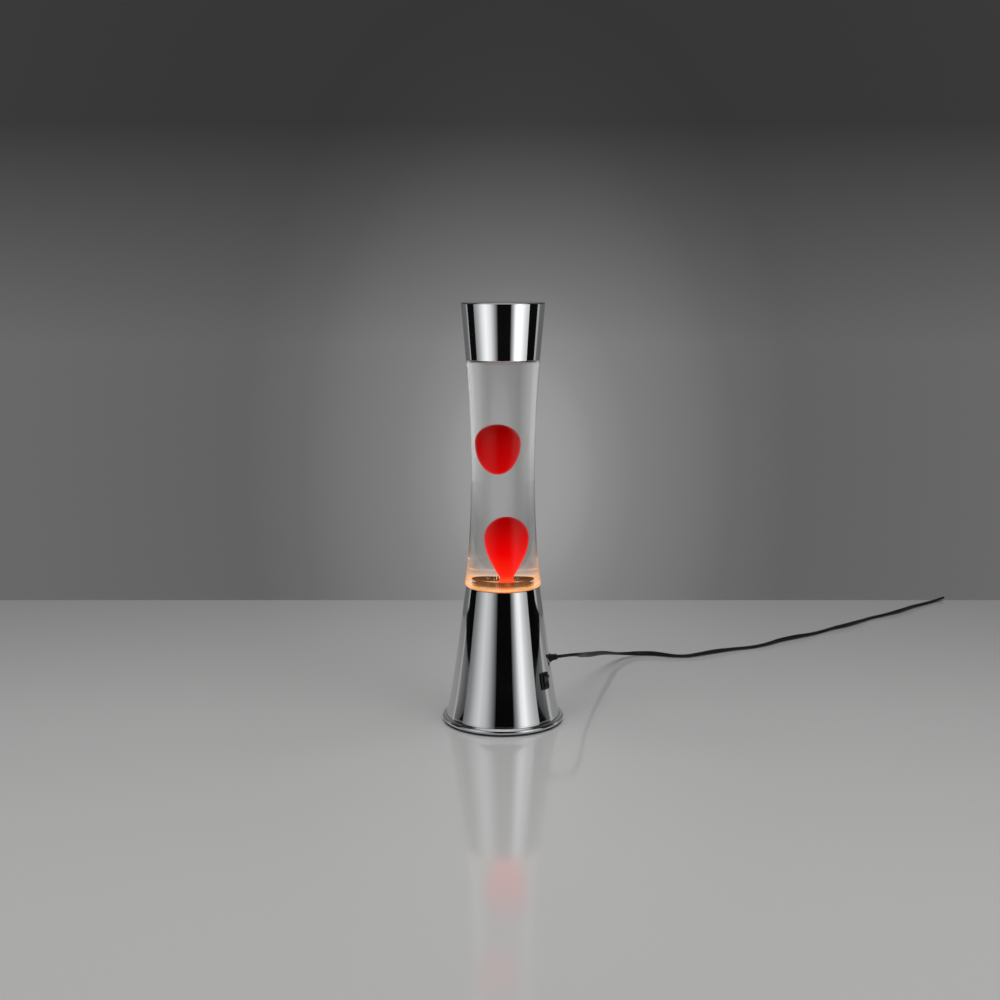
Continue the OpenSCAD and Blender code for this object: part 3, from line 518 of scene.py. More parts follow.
class Finish:
    """A material that is being made: one Principled shader and what feeds it."""

    def __init__(self, name: str, colour: tuple, roughness: float, metallic: float = 0.0) -> None:
        """Starts the material.

        Args:
            name: Name of the material.
            colour: Base colour as linear red, green and blue.
            roughness: Roughness of the surface.
            metallic: 1 for bare metal, 0 otherwise.
        """
        self.material = bpy.data.materials.new(name)
        self.material.use_nodes = True
        self.shader = Shader(self.material.node_tree)
        self.base = self.material.node_tree.nodes["Principled BSDF"]
        self.material.diffuse_color = (*colour, 1.0)
        self.set("Base Color", (*colour, 1.0))
        self.set("Roughness", roughness)
        self.set("Metallic", metallic)

    def set(self, socket: str, value: object) -> None:
        """Sets a constant on the shader's own socket."""
        self.base.inputs[socket].default_value = value

    def effect(self, which: Effect, output: str, **values: float) -> bpy.types.NodeSocket:
        """Places a shared effect.

        Args:
            which: The effect.
            output: The output wanted.
            **values: Values for its inputs, by name.

        Returns:
            The output socket.
        """
        node = self.shader.node("ShaderNodeGroup", which.value)
        node.node_tree = which.tree()
        for key, value in values.items():
            node.inputs[key].default_value = value
        return node.outputs[output]

    def vary_roughness(self, scale: float, low: float, high: float) -> None:
        """Roughness that drifts between low and high in cloudy patches of a scale."""
        self.feed("Roughness", self.effect(
            Effect.MOTTLE, "Value", Scale=scale, Low=low, High=high))

    def vary_colour(self, scale: float, first: tuple, second: tuple) -> None:
        """Base colour that drifts between two colours in cloudy patches of a scale."""
        value = self.effect(Effect.MOTTLE, "Value", Scale=scale)
        self.feed("Base Color", self.shader.ramp(value, [(0.0, first), (1.0, second)]))

    def dusty_colour(self, clean: tuple, dust: tuple, amount: float) -> None:
        """Base colour that turns towards dust in specks on the faces that are turned up."""
        mask = self.effect(Effect.DUST, "Mask", Amount=amount)
        self.feed("Base Color", self.shader.ramp(mask, [(0.0, clean), (1.0, dust)]))

    def feed(self, socket: str, source: bpy.types.NodeSocket) -> None:
        """Links what varies over the surface to the shader's own socket."""
        self.shader.link(source, self.base.inputs[socket])

    def glow(self, colour: bpy.types.NodeSocket, strength: float) -> None:
        """Lets the surface shine in a colour that varies over it."""
        self.feed("Emission Color", colour)
        self.set("Emission Strength", strength)

    def relief(self, height: bpy.types.NodeSocket, strength: float, depth: float) -> None:
        """Adds bump to the surface.

        Args:
            height: Socket with the height, from 0 to 1.
            strength: Share of the bump that is used.
            depth: Depth in metres of the whole height.
        """
        bump = self.shader.node("ShaderNodeBump")
        bump.inputs["Strength"].default_value = strength
        bump.inputs["Distance"].default_value = depth
        self.shader.link(height, bump.inputs["Height"])
        self.feed("Normal", bump.outputs["Normal"])


# ---------------------------------------------------------------------------
# Finishes
# ---------------------------------------------------------------------------


@dataclass(frozen=True)
class Chrome:
    """Bright chromium plate over spun sheet: mirror-like, a little wavy, with faint smears.

    Its tint turns into edge where the sheet is seen at a slant.
    """

    name: str = "chromium_plate"
    tint: tuple = (0.83, 0.84, 0.86)
    edge: tuple = (0.83, 0.84, 0.86)
    smear: tuple = (0.025, 0.07)
    turning: tuple = (0.34, 0.46)

    def make(self) -> bpy.types.Material:
        """Builds the material."""
        finish = Finish(self.name, self.tint, self.smear[0], 1.0)
        facing = finish.shader.node("ShaderNodeLayerWeight")
        front, slant = self.turning
        finish.feed("Base Color", finish.shader.ramp(
            facing.outputs["Facing"], [(front, self.tint), (slant, self.edge)]))
        finish.vary_roughness(35.0, *self.smear)
        wave = finish.effect(Effect.MOTTLE, "Value", Scale=14.0, Detail=1.0)
        finish.relief(wave, 0.08, 0.0006)
        return finish.material


@dataclass(frozen=True)
class Metal:
    """Plain metal of a small part, with patchy tarnish and fine tool marks."""

    name: str
    bright: tuple
    dull: tuple
    roughness: tuple = (0.22, 0.42)
    grain: float = 600.0

    def make(self) -> bpy.types.Material:
        """Builds the material."""
        finish = Finish(self.name, self.bright, self.roughness[0], 1.0)
        finish.vary_colour(90.0, self.dull, self.bright)
        finish.vary_roughness(160.0, *self.roughness)
        marks = finish.effect(Effect.GRAIN, "Height", Scale=self.grain, Cells=0.2)
        finish.relief(marks, 0.15, 0.0001)
        return finish.material


@dataclass(frozen=True)
class Moulding:
    """Moulded plastic, rubber or paint: fine grain, drifting gloss and a little settled dust."""

    name: str
    colour: tuple
    roughness: tuple
    grain: float = 1500.0
    grain_depth: float = 0.00003
    dust: tuple = (0.12, 0.115, 0.11)
    dust_amount: float = 0.25
    coat: float = 0.0
    shine: float = 0.5

    def make(self) -> bpy.types.Material:
        """Builds the material."""
        finish = Finish(self.name, self.colour, self.roughness[0])
        finish.dusty_colour(self.colour, self.dust, self.dust_amount)
        finish.vary_roughness(120.0, *self.roughness)
        finish.set("Specular IOR Level", self.shine)
        finish.set("Coat Weight", self.coat)
        finish.set("Coat Roughness", 0.12)
        grain = finish.effect(Effect.GRAIN, "Height", Scale=self.grain, Cells=0.45)
        finish.relief(grain, 0.35, self.grain_depth)
        return finish.material


@dataclass(frozen=True)
class Clear:
    """A clear body, glass or liquid, that hardly mirrors the room."""

    name: str
    colour: tuple
    index: float
    tint: float
    haze: tuple

    def start(self) -> Finish:
        """The finish without waves or glow."""
        finish = Finish(self.name, self.colour, 0.0)
        finish.set("Transmission Weight", 1.0)
        finish.set("IOR", self.index)
        finish.set("Specular Tint", (self.tint, self.tint, self.tint, 1.0))
        finish.vary_roughness(*self.haze)
        return finish

    def make(self) -> bpy.types.Material:
        """Builds the material."""
        return self.start().material


@dataclass(frozen=True)
class ClearGlass(Clear):
    """Pressed clear glass: faint waves, and a painted warm glow that stands in for the bulb's light
    in its thick floor.
    """

    glow_z: tuple = (0.0, 1.0)
    wall_r: tuple = (0.024, 0.031)
    wall_gain: tuple = (0.12, 1.6)

    def make(self) -> bpy.types.Material:
        """Builds the material; the painted glow grows from the bottle's middle to its wall."""
        finish = self.start()
        wave = finish.effect(Effect.MOTTLE, "Value", Scale=22.0, Detail=2.0)
        finish.relief(wave, 0.10, 0.0004)
        shader = finish.shader
        # Painted light: amber emission by height stands in for the bulb's light through the glass.
        # It is strongest in the floor and heel and fades upwards.
        warm = shader.ramp(shader.height(*self.glow_z), [
            (0.0, (0.10, 0.04, 0.012)), (0.05, (0.22, 0.10, 0.035)), (0.17, (0.22, 0.09, 0.03)),
            (0.215, (0.10, 0.04, 0.012)), (0.275, (0.05, 0.02, 0.006)),
            (0.475, (0.012, 0.005, 0.002)), (1.0, (0.0, 0.0, 0.0))])
        from_axis = shader.reach((0.0, 0.0, 0.0), (1.0, 1.0, 0.0))
        glow = shader.node("ShaderNodeVectorMath", operation="SCALE")
        shader.link(warm, glow.inputs[0])
        shader.link(shader.share(from_axis, self.wall_r, self.wall_gain), glow.inputs["Scale"])
        finish.glow(glow.outputs["Vector"], 1.0)
        return finish.material


@dataclass(frozen=True)
class Wax:
    """Molten red wax; the light that climbs through it from below is painted on as a glow that
    changes with height.
    """

    name: str
    low: float
    high: float
    light: tuple

    def make(self) -> bpy.types.Material:
        """Builds the material."""
        finish = Finish(self.name, (0.16, 0.0, 0.0), 0.32)
        # Painted light: the emission ramp by height stands in for the bulb's light climbing up
        # through the wax.
        share = finish.shader.height(self.low, self.high)
        finish.glow(finish.shader.ramp(share, list(self.light)), 1.0)
        finish.set("Specular IOR Level", 0.05)
        finish.vary_roughness(60.0, 0.26, 0.38)
        swirl = finish.effect(Effect.MOTTLE, "Value", Scale=30.0, Detail=1.0)
        finish.relief(swirl, 0.12, 0.0006)
        return finish.material


@dataclass(frozen=True)
class LampGlass:
    """Frosted front and silvered bowl of the reflector bulb, lit from inside."""

    name: str
    bowl_top: float
    crown: float

    def make(self) -> bpy.types.Material:
        """Builds the material."""
        finish = Finish(self.name, (0.86, 0.84, 0.8), 0.25)
        share = finish.shader.height(self.bowl_top, self.crown)
        finish.glow(finish.shader.ramp(share, [
            (0.0, (0.0, 0.0, 0.0)), (0.12, (0.35, 0.2, 0.09)), (0.5, (1.0, 0.66, 0.34)),
            (1.0, (1.0, 0.82, 0.55))]), 0.6)
        finish.vary_roughness(80.0, 0.2, 0.34)
        frost = finish.effect(Effect.GRAIN, "Height", Scale=2200.0, Cells=0.3)
        finish.relief(frost, 0.2, 0.00003)
        return finish.material


@dataclass(frozen=True)
class HotWire:
    """The filament's wire, glowing."""

    name: str = "filament_wire"

    def make(self) -> bpy.types.Material:
        """Builds the material."""
        finish = Finish(self.name, (0.3, 0.28, 0.26), 0.5, 1.0)
        heat = finish.effect(Effect.MOTTLE, "Value", Scale=700.0)
        finish.glow(finish.shader.ramp(
            heat, [(0.0, (1.0, 0.42, 0.12)), (1.0, (1.0, 0.7, 0.35))]), 12.0)
        return finish.material


BOWL_SHARE = 0.7


def heights(part: str) -> tuple[float, float]:
    """Lowest and highest point of a part."""
    low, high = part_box(part)
    return low[2], high[2]


def finishes() -> dict[str, bpy.types.Material]:
    """Makes every finish, by the name of its material slot."""
    glass_low, _ = heights("glass_bottle")
    bulb_low, bulb_high = heights("bulb_glass")
    bowl = bulb_low + BOWL_SHARE * (bulb_high - bulb_low)
    # Painted light on the wax: emission colours by height stand in for the bulb's light from below.
    # The column is brightest and orange near its foot, and the blob is brightest at its bottom.
    column_painted_glow = (
        (0.0, (0.80, 0.030, 0.008)), (0.08, (1.0, 0.050, 0.012)), (0.16, (0.95, 0.006, 0.002)),
        (0.35, (0.86, 0.001, 0.0)), (0.48, (0.82, 0.0, 0.0)), (0.61, (0.68, 0.0, 0.0)),
        (0.75, (0.53, 0.0, 0.0)), (0.88, (0.36, 0.0, 0.0)), (1.0, (0.26, 0.0, 0.0)))
    blob_painted_glow = (
        (0.0, (0.52, 0.001, 0.001)), (0.16, (0.485, 0.001, 0.001)), (0.36, (0.42, 0.0, 0.001)),
        (0.56, (0.36, 0.0, 0.0)), (0.76, (0.27, 0.0, 0.0)), (0.95, (0.19, 0.0, 0.0)),
        (1.0, (0.17, 0.0, 0.0)))
    makers = {
        "chrome_shell": Chrome(),
        "base_chrome": Chrome("base_plate_chrome", (0.50, 0.51, 0.52), (0.86, 0.87, 0.88)),
        "clear_glass": ClearGlass("bottle_glass", (0.985, 0.995, 0.99), 1.5, 0.10,
                                  (25.0, 0.0, 0.012), (glass_low, glass_low + 0.040)),
        "liquid": Clear("carrier_fluid", (0.995, 0.99, 0.985), 1.36, 0.0, (18.0, 0.0, 0.006)),
        "red_wax": Wax("column_wax", *heights("wax_column"), column_painted_glow),
        "blob_wax": Wax("blob_wax", *heights("wax_blob"), blob_painted_glow),
        "coil_wire": Metal("heater_wire", (0.17, 0.075, 0.03), (0.08, 0.03, 0.012), (0.3, 0.5)),
        "lamp_glass": LampGlass("reflector_glass", bowl, bulb_high),
        "tungsten": HotWire(),
        "crown_steel": Metal("crown_lacquer", (0.80, 0.62, 0.26), (0.66, 0.48, 0.18), (0.16, 0.28)),
        "zinc_steel": Metal("zinc_plate", (0.62, 0.63, 0.65), (0.45, 0.46, 0.47)),
        "nickel": Metal("nickel_plate", (0.72, 0.69, 0.63), (0.58, 0.55, 0.5), (0.14, 0.3)),
        "brass": Metal("brass_sheet", (0.82, 0.62, 0.28), (0.55, 0.38, 0.16), (0.18, 0.36)),
        "black_steel": Moulding("black_paint", (0.012, 0.012, 0.013), (0.25, 0.4), 700.0, 0.00005),
        "rubber_pad": Moulding("foot_rubber", (0.02, 0.02, 0.02), (0.6, 0.78), 900.0, 0.00006),
        "holder_black": Moulding("holder_resin", (0.016, 0.015, 0.014), (0.3, 0.45), 500.0),
        "switch_black": Moulding("switch_nylon", (0.005, 0.005, 0.0055), (0.22, 0.32), 1800.0,
                                 0.00002, dust_amount=0.04, coat=0.1, shine=0.3),
        "cord_black": Moulding("cord_vinyl", (0.006, 0.006, 0.0065), (0.34, 0.48), 800.0, 0.00004,
                               dust_amount=0.04, shine=0.25),
        "wire_brown": Moulding("brown_insulation", (0.10, 0.035, 0.012), (0.35, 0.5)),
        "wire_black": Moulding("black_insulation", (0.012, 0.012, 0.012), (0.35, 0.5)),
        "wire_blue": Moulding("blue_insulation", (0.02, 0.10, 0.32), (0.35, 0.5)),
        "liner": Moulding("liner_foam", (0.72, 0.70, 0.62), (0.55, 0.7), 900.0, 0.00004,
                          dust=(0.5, 0.48, 0.42)),
    }
    return {name: maker.make() for name, maker in makers.items()}


# ---------------------------------------------------------------------------
# Sub-assemblies
# ---------------------------------------------------------------------------

Finishes = dict[str, bpy.types.Material]


def dress(piece: bpy.types.Object, body: str, material: bpy.types.Material,
          replaced: tuple[str, ...] = ()) -> None:
    """Gives a new piece its material, its body and the parts that it stands for.

    Args:
        piece: The new piece.
        body: Body that it rides on.
        material: The material.
        replaced: Nodes that the piece stands for.
    """
    piece.data.materials.clear()
    piece.data.materials.append(material)
    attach(piece, body)
    if replaced:
        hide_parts(*replaced)
    LOG.info("%s rides on %s, finish %s", piece.name, body, material.name)


@dataclass
class Base:
    """The chromed base: a flared shell of spun sheet with a rolled rim and a turned-in seat."""

    sheet: float = 0.0008
    rim_r: float = 0.0022
    fillet: float = 0.002
    seat_edge: float = 0.0012
    lip_depth: float = 0.006
    lip_r: float = 0.0316
    neck_r: float = 0.0348
    bell: float = 0.11
    bell_power: float = 6.5
    columns: int = 240
    wall_rows: tuple = (19, 34, 42)
    dense_turn: float = 0.13
    dense_columns: int = 31
    switch_turn: float = 34.0
    switch_z: float = 0.0445
    switch_cut: tuple = (0.0103, 0.0148)
    exit_turn: float = 5.0
    exit_z: float = 0.0585
    exit_cut: float = 0.0038
    seat_z: float = field(init=False)
    rim_out: float = field(init=False)
    rim_z: float = field(init=False)

    def __post_init__(self) -> None:
        """Takes the shell's height and rim from its part."""
        low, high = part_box("base_shell")
        self.seat_z = high[2]
        self.rim_out = high[0]
        self.rim_z = low[2] + self.rim_r

    @property
    def flare_z(self) -> float:
        """Height at which the wall ends and the fillet to the rim begins."""
        return self.rim_z + self.rim_r + self.fillet

    @property
    def flare_r(self) -> float:
        """Radius of the wall at its lower end."""
        return self.rim_out - self.rim_r - self.fillet

    def wall_r(self, z: Array | float) -> Array | float:
        """Radius of the wall at a height, a cone with a flared foot.

        It is neck + (flare - neck) * ((1 - bell) t + bell t^bell_power), t being the share of the
        way down from the seat.

        Args:
            z: Height, or an array of heights.

        Returns:
            The radius at each height.
        """
        t = (self.seat_z - z) / (self.seat_z - self.flare_z)
        flare = (1 - self.bell) * t + self.bell * np.power(t, self.bell_power)
        return self.neck_r + (self.flare_r - self.neck_r) * flare

    def lean(self, z: float) -> float:
        """Angle in radians by which the wall leans back at a height."""
        step = 0.001
        return math.atan((self.wall_r(z - step) - self.wall_r(z + step)) / (2 * step))

    def face(self, turn: float, z: float) -> Matrix:
        """Frame on the wall's face: X out of it, Z up along it.

        Args:
            turn: Turn about Z in degrees, anticlockwise from +X.
            z: Height.

        Returns:
            The frame's matrix.
        """
        spin = Matrix.Rotation(math.radians(turn), 4, "Z")
        out = Matrix.Translation((float(self.wall_r(z)), 0.0, z))
        return spin @ out @ Matrix.Rotation(-self.lean(z), 4, "Y")

    def line(self) -> Array:
        """Outer line of the sheet, from the rim's inner end up the wall and down the lip.

        The wall's rows lie closer together from below the switch to above the cord's exit.
        """
        seat_c = self.seat_z - self.seat_edge
        rim_c = (self.flare_r + self.fillet, self.rim_z)
        levels = (self.flare_z, self.switch_z - 0.0085, self.exit_z + 0.005, seat_c)
        z = np.concatenate([
            np.linspace(low, high, rows, endpoint=False)
            for low, high, rows in zip(levels, levels[1:], self.wall_rows)])[1:]
        return np.vstack([
            arc(rim_c, self.rim_r, -175, 80, 30),
            arc((rim_c[0], self.flare_z), self.fillet, 264, 180, 10),
            np.column_stack([self.wall_r(z), z]),
            arc((self.neck_r - self.seat_edge, seat_c), self.seat_edge, 0, 90, 8),
            arc((self.lip_r + self.seat_edge, seat_c), self.seat_edge, 90, 180, 8),
            [[self.lip_r, self.seat_z - self.lip_depth]],
        ])

    def inner_line(self, line: Array) -> Array:
        """The same line, moved in by the sheet's thickness along its own normals.

        Args:
            line: Outer line as (radius, height).

        Returns:
            The inner line.
        """
        step = np.gradient(line, axis=0)
        step /= np.linalg.norm(step, axis=1, keepdims=True)
        normal = np.column_stack([step[:, 1], -step[:, 0]])
        return line - self.sheet * normal

    def cut(self, line: Array, angles: Array) -> Array:
        """Finds the cells of the wall's grid that the switch and the cord's exit pass through.

        Args:
            line: Outer line as (radius, height), one point for each of the grid's rows.
            angles: Angles of the grid's columns, in radians.

        Returns:
            True for each cell that is cut away.
        """
        middle = (line[:-1] + line[1:]) / 2
        column = (angles + np.roll(angles, -1)) / 2
        column[-1] = angles[-1] + (2 * math.pi - angles[-1]) / 2
        radius, z = middle[:, 0:1], middle[:, 1:2]

        def beside(turn: float) -> Array:
            """Distance round the wall from a turn in degrees."""
            gap = (column[None] - math.radians(turn) + math.pi) % (2 * math.pi) - math.pi
            return radius * gap

        on_wall = (z > self.flare_z) & (z < self.seat_z - self.seat_edge)
        wide, high = self.switch_cut
        switch = (np.abs(beside(-self.switch_turn)) < wide / 2) & (
            np.abs(z - self.switch_z) / math.cos(self.lean(self.switch_z)) < high / 2)
        hole = np.hypot(beside(self.exit_turn), z - self.exit_z) < self.exit_cut
        return on_wall & (switch | hole)

    def shell(self) -> bpy.types.Object:
        """The shell as one closed skin: outer and inner grid, both ends, a wall round each cut."""
        line = self.line()
        inner = self.inner_line(line)
        turns = [np.linspace(0, 2 * math.pi, self.columns, endpoint=False)]
        for turn in (-self.switch_turn, self.exit_turn):
            dense = np.linspace(-self.dense_turn, self.dense_turn, self.dense_columns)
            turns.append((math.radians(turn) + dense) % (2 * math.pi))
        angles = np.unique(np.round(np.concatenate(turns), 5))
        rows, columns = len(line), len(angles)
        holes = self.cut(line, angles)
        outer_points, outer_faces = turned(line, angles, holes)
        inner_points, inner_faces = turned(inner, angles, holes)
        shift = rows * columns
        index = np.arange(shift).reshape(rows, columns)
        ahead = np.roll(index, -1, axis=1)
        low = np.stack([index[0] + shift, ahead[0] + shift, ahead[0], index[0]], axis=1)
        high = np.stack([index[-1], ahead[-1], ahead[-1] + shift, index[-1] + shift], axis=1)
        edges = [low, high]
        padded = np.pad(holes, ((1, 1), (0, 0)))
        for step in (-1, 1):
            beside_hole = padded[1:-1] & ~np.roll(padded, step, axis=0)[1:-1]
            row, col = np.nonzero(beside_hole)
            row = row + (1 if step == -1 else 0)
            a, b = index[row, col], ahead[row, col]
            ring = [a, b, b + shift, a + shift]
            edges.append(np.stack(ring if step == 1 else ring[::-1], axis=1))
        for step in (-1, 1):
            row, col = np.nonzero(holes & ~np.roll(holes, step, axis=1))
            side = ahead if step == -1 else index
            a, b = side[row, col], side[row + 1, col]
            ring = [a, a + shift, b + shift, b]
            edges.append(np.stack(ring if step == 1 else ring[::-1], axis=1))
        vertices = np.vstack([outer_points, inner_points])
        faces = np.vstack([outer_faces, inner_faces[:, ::-1] + shift, *edges])
        return build_mesh("chromed_base_shell", (vertices, faces))

    def build(self, looks: Finishes) -> None:
        """Builds and dresses the base."""
        dress(self.shell(), "base", looks["base_chrome"], ("base_shell",))


@dataclass
class Bottle:
    """The glass bottle and what it holds: liquid, wax, the heating coil and the crown cap."""

    waist_up: float = 0.111
    waist_r: float = 0.0298
    heel_r: float = 0.0356
    shoulder_r: float = 0.0344
    wall: float = 0.0026
    floor: float = 0.004
    floor_up: float = 0.0006
    heel_step: float = 0.00045
    heel_band: float = 0.0085
    heel_round: float = 0.002
    foot_r: float = 0.031
    foot_wall: float = 0.004
    foot_depth: float = 0.005
    land_r: float = 0.0323
    dome_r: float = 0.008
    neck_out: float = 0.0126
    finish_r: float = 0.0133
    mouth_r: float = 0.0089
    corner_r: float = 0.004
    lip_r: float = 0.001
    finish_h: float = 0.004
    overlap: float = 0.0003
    columns: int = 192
    wax_columns: int = 128
    blob_up: float = 0.0185
    blob_pull: float = 0.012
    column_head: tuple = (0.0154, 0.021)
    column_neck_r: float = 0.0048
    column_foot: tuple = (0.0079, 0.008)
    coil_wire: float = 0.0005
    coil_turns: int = 78
    crown_sheet: float = 0.0003
    crown_skirt: float = 0.005
    crown_flutes: int = 21
    crown_flare: float = 0.00095
    crown_edge: float = 0.0016
    seat_z: float = field(init=False)
    ledge_z: float = field(init=False)
    neck_z: float = field(init=False)

    def __post_init__(self) -> None:
        """Takes the seat, the cap's ledge and the neck's rim from the parts."""
        self.seat_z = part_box("base_shell")[1][2]
        self.ledge_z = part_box("top_cap")[0][2]
        self.neck_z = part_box("glass_bottle")[1][2]

    def glass_r(self, z: Array | float) -> Array | float:
        """Radius of the bottle: power curves from the waist down to the heel and up to the ledge.

        It is waist + (heel - waist) * below^2.29 + (shoulder - waist) * above^1.92, with the share
        of the way from the waist to either end.

        Args:
            z: Height, or an array of heights.

        Returns:
            The radius at each height.
        """
        waist_z = self.seat_z + self.waist_up
        below = np.clip((waist_z - z) / self.waist_up, 0, None)
        above = np.clip((z - waist_z) / (self.ledge_z - waist_z), 0, None)
        return (self.waist_r + (self.heel_r - self.waist_r) * below**2.29
                + (self.shoulder_r - self.waist_r) * above**1.92)

    def inside(self, grow: float, top: float) -> Array:
        """Line of the bottle's inside, from the floor's centre round its corner and up the wall.

        Args:
            grow: How far the line stands outside the glass's inner face.
            top: Height at which it ends.

        Returns:
            The line as (radius, height).
        """
        floor_z = self.seat_z + self.floor_up
        wall_z = floor_z + self.corner_r
        wall_r = self.glass_r(wall_z) - self.wall + grow
        z = np.linspace(wall_z, top, 90)[1:]
        return np.vstack([
            [[0.0, floor_z - grow]],
            arc((wall_r - self.corner_r, wall_z - grow), self.corner_r, -90, 0, 12),
            np.column_stack([self.glass_r(z) - self.wall + grow, z]),
        ])

    def glass(self) -> bpy.types.Object:
        """The bottle: outer line from the floor up, round the mouth's lip, and down the inside."""
        s, base, edge = self, self.seat_z, self.lip_r
        nick, bead, fillet, inner_fillet = 0.0004, 0.0006, 0.005, 0.006
        foot_in = s.foot_r - s.foot_wall
        dome_z = s.ledge_z + 0.002
        under = base + s.floor_up - s.floor
        band_r = s.glass_r(base + s.heel_round) + s.heel_step
        z_band = np.linspace(base + s.heel_round, base + s.heel_band - 0.0006, 8)[1:]
        z_body = np.linspace(base + s.heel_band, s.ledge_z - 0.0015, 130)
        outer = np.vstack([
            [[0.0, under], [foot_in - nick, under]],
            arc((foot_in - nick, under - nick), nick, 90, 0, 4),
            arc((foot_in + edge, base - s.foot_depth + edge), edge, 180, 270, 5),
            arc((s.foot_r - edge, base - s.foot_depth + edge), edge, -90, 0, 5),
            [[s.foot_r, base - nick], [s.foot_r + nick, base]],
            arc((band_r - s.heel_round, base + s.heel_round), s.heel_round, -90, 0, 10),
            np.column_stack([s.glass_r(z_band) + s.heel_step, z_band]),
            np.column_stack([s.glass_r(z_body), z_body]),
            arc((s.shoulder_r - 0.0012, s.ledge_z - edge), edge, 0, 90, 8),
            [[s.land_r + 0.0003, s.ledge_z]],
            arc((s.land_r - s.dome_r, dome_z), s.dome_r, -3, 90, 18),
            arc((s.neck_out + fillet, dome_z + s.dome_r + fillet), fillet, 262, 182, 12),
            [[s.neck_out, s.neck_z - s.finish_h - 0.0007]],
            arc((s.finish_r - bead, s.neck_z - s.finish_h), bead, -60, 0, 3),
            arc((s.finish_r - edge, s.neck_z - edge), edge, 0, 90, 6),
            arc((s.mouth_r + edge, s.neck_z - edge), edge, 90, 180, 6),
        ])
        top = np.vstack([
            arc((s.land_r - s.dome_r, dome_z), s.dome_r - s.wall, 0, 90, 14),
            arc((s.mouth_r + inner_fillet, dome_z + s.dome_r - s.wall + inner_fillet),
                inner_fillet, 270, 180, 10),
        ])
        inner = np.vstack([s.inside(0.0, s.ledge_z - 0.001), top])[::-1]
        shape = turned(np.vstack([outer, inner]), full_turn(self.columns))
        return build_mesh("clear_bottle", shape, 50.0)

    def liquid(self) -> bpy.types.Object:
        """The liquid, filling the inside to just under its surface line."""
        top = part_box("carrier_liquid")[1][2]
        wall = self.inside(self.overlap, top)
        shape = turned(np.vstack([wall, [[0.0, top]]]), full_turn(self.columns))
        return build_mesh("clear_liquid", shape, 60.0)

    def wax_blob(self) -> bpy.types.Object:
        """The floating blob: radius r cos a, height h sin a with its own h above and below.

        It is pulled in by up to twice blob_pull along two ridges that twist on their way up.
        """
        low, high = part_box("wax_blob")
        middle_x = (low[0] + high[0]) / 2
        radius = (high[0] - low[0]) / 2
        down = high[2] - low[2] - self.blob_up
        a = np.radians(np.linspace(-90, 90, 97))
        line = np.column_stack([
            radius * np.cos(a),
            high[2] - self.blob_up + np.where(a < 0, down, self.blob_up) * np.sin(a)])
        line[[0, -1], 0] = 0.0
        vertices, faces = turned(line, full_turn(self.wax_columns))
        share = (vertices[:, 2] - low[2]) / (high[2] - low[2])
        turn = np.arctan2(vertices[:, 1], vertices[:, 0])
        vertices[:, :2] *= (1 - self.blob_pull * (1 + np.sin(2 * turn + 5 * share)))[:, None]
        vertices[:, 0] += middle_x
        return build_mesh("floating_wax", (vertices, faces), 80.0)

    def wax_column(self) -> bpy.types.Object:
        """The rising column: a flared foot, a cosine neck and an oval head."""
        low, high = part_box("wax_column")
        x0 = (low[0] + high[0]) / 2
        (head_r, head_up), (foot_r, foot_h) = self.column_head, self.column_foot
        neck_r, head_z = self.column_neck_r, high[2] - head_up
        s = np.linspace(1, 0, 14)
        foot = np.column_stack([
            neck_r + (foot_r - neck_r) * (1 - np.sqrt(1 - s * s)), low[2] + foot_h * (1 - s)])
        t = np.linspace(1, 0, 60)[1:]
        body = np.column_stack([
            neck_r + (head_r - neck_r) * np.cos(math.pi / 2 * t),
            head_z - (head_z - low[2] - foot_h) * t])
        a = np.radians(np.linspace(0, 90, 40))[1:]
        head = np.column_stack([head_r * np.cos(a), head_z + head_up * np.sin(a)])
        head[-1, 0] = 0.0
        line = np.vstack([[[0.0, low[2]]], foot, body, head])
        vertices, faces = turned(line, full_turn(self.wax_columns))
        vertices[:, 0] += x0
        return build_mesh("rising_wax", (vertices, faces), 80.0)

    def heating_coil(self) -> bpy.types.Object:
        """Wire wound as a helix round a ring: R + r cos b out, r sin b up, b turning many times."""
        low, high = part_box("heating_coil")
        tube = (high[2] - low[2]) / 2
        ring = high[0] - tube
        wire, rows, sides = self.coil_wire, self.coil_turns * 18, 7
        a = full_turn(rows)
        b = self.coil_turns * a
        out = ring + (tube - wire) * np.cos(b)
        path = np.column_stack([
            out * np.cos(a), out * np.sin(a), low[2] + tube + (tube - wire) * np.sin(b)])
        along = np.roll(path, -1, axis=0) - np.roll(path, 1, axis=0)
        along /= np.linalg.norm(along, axis=1, keepdims=True)
        centre = np.column_stack([ring * np.cos(a), ring * np.sin(a), np.full(rows, low[2] + tube)])
        away = path - centre
        away /= np.linalg.norm(away, axis=1, keepdims=True)
        side = np.cross(along, away)
        turn = full_turn(sides)[None, :, None]
        loops = path[:, None] + wire * (
            away[:, None] * np.cos(turn) + side[:, None] * np.sin(turn))
        index = np.arange(rows * sides).reshape(rows, sides)
        index = np.vstack([index, index[:1]])
        ahead = np.roll(index, -1, axis=1)
        faces = np.stack([index[:-1], index[1:], ahead[1:], ahead[:-1]], axis=2).reshape(-1, 4)
        return build_mesh("heater_coil", (loops.reshape(-1, 3), faces), 80.0)

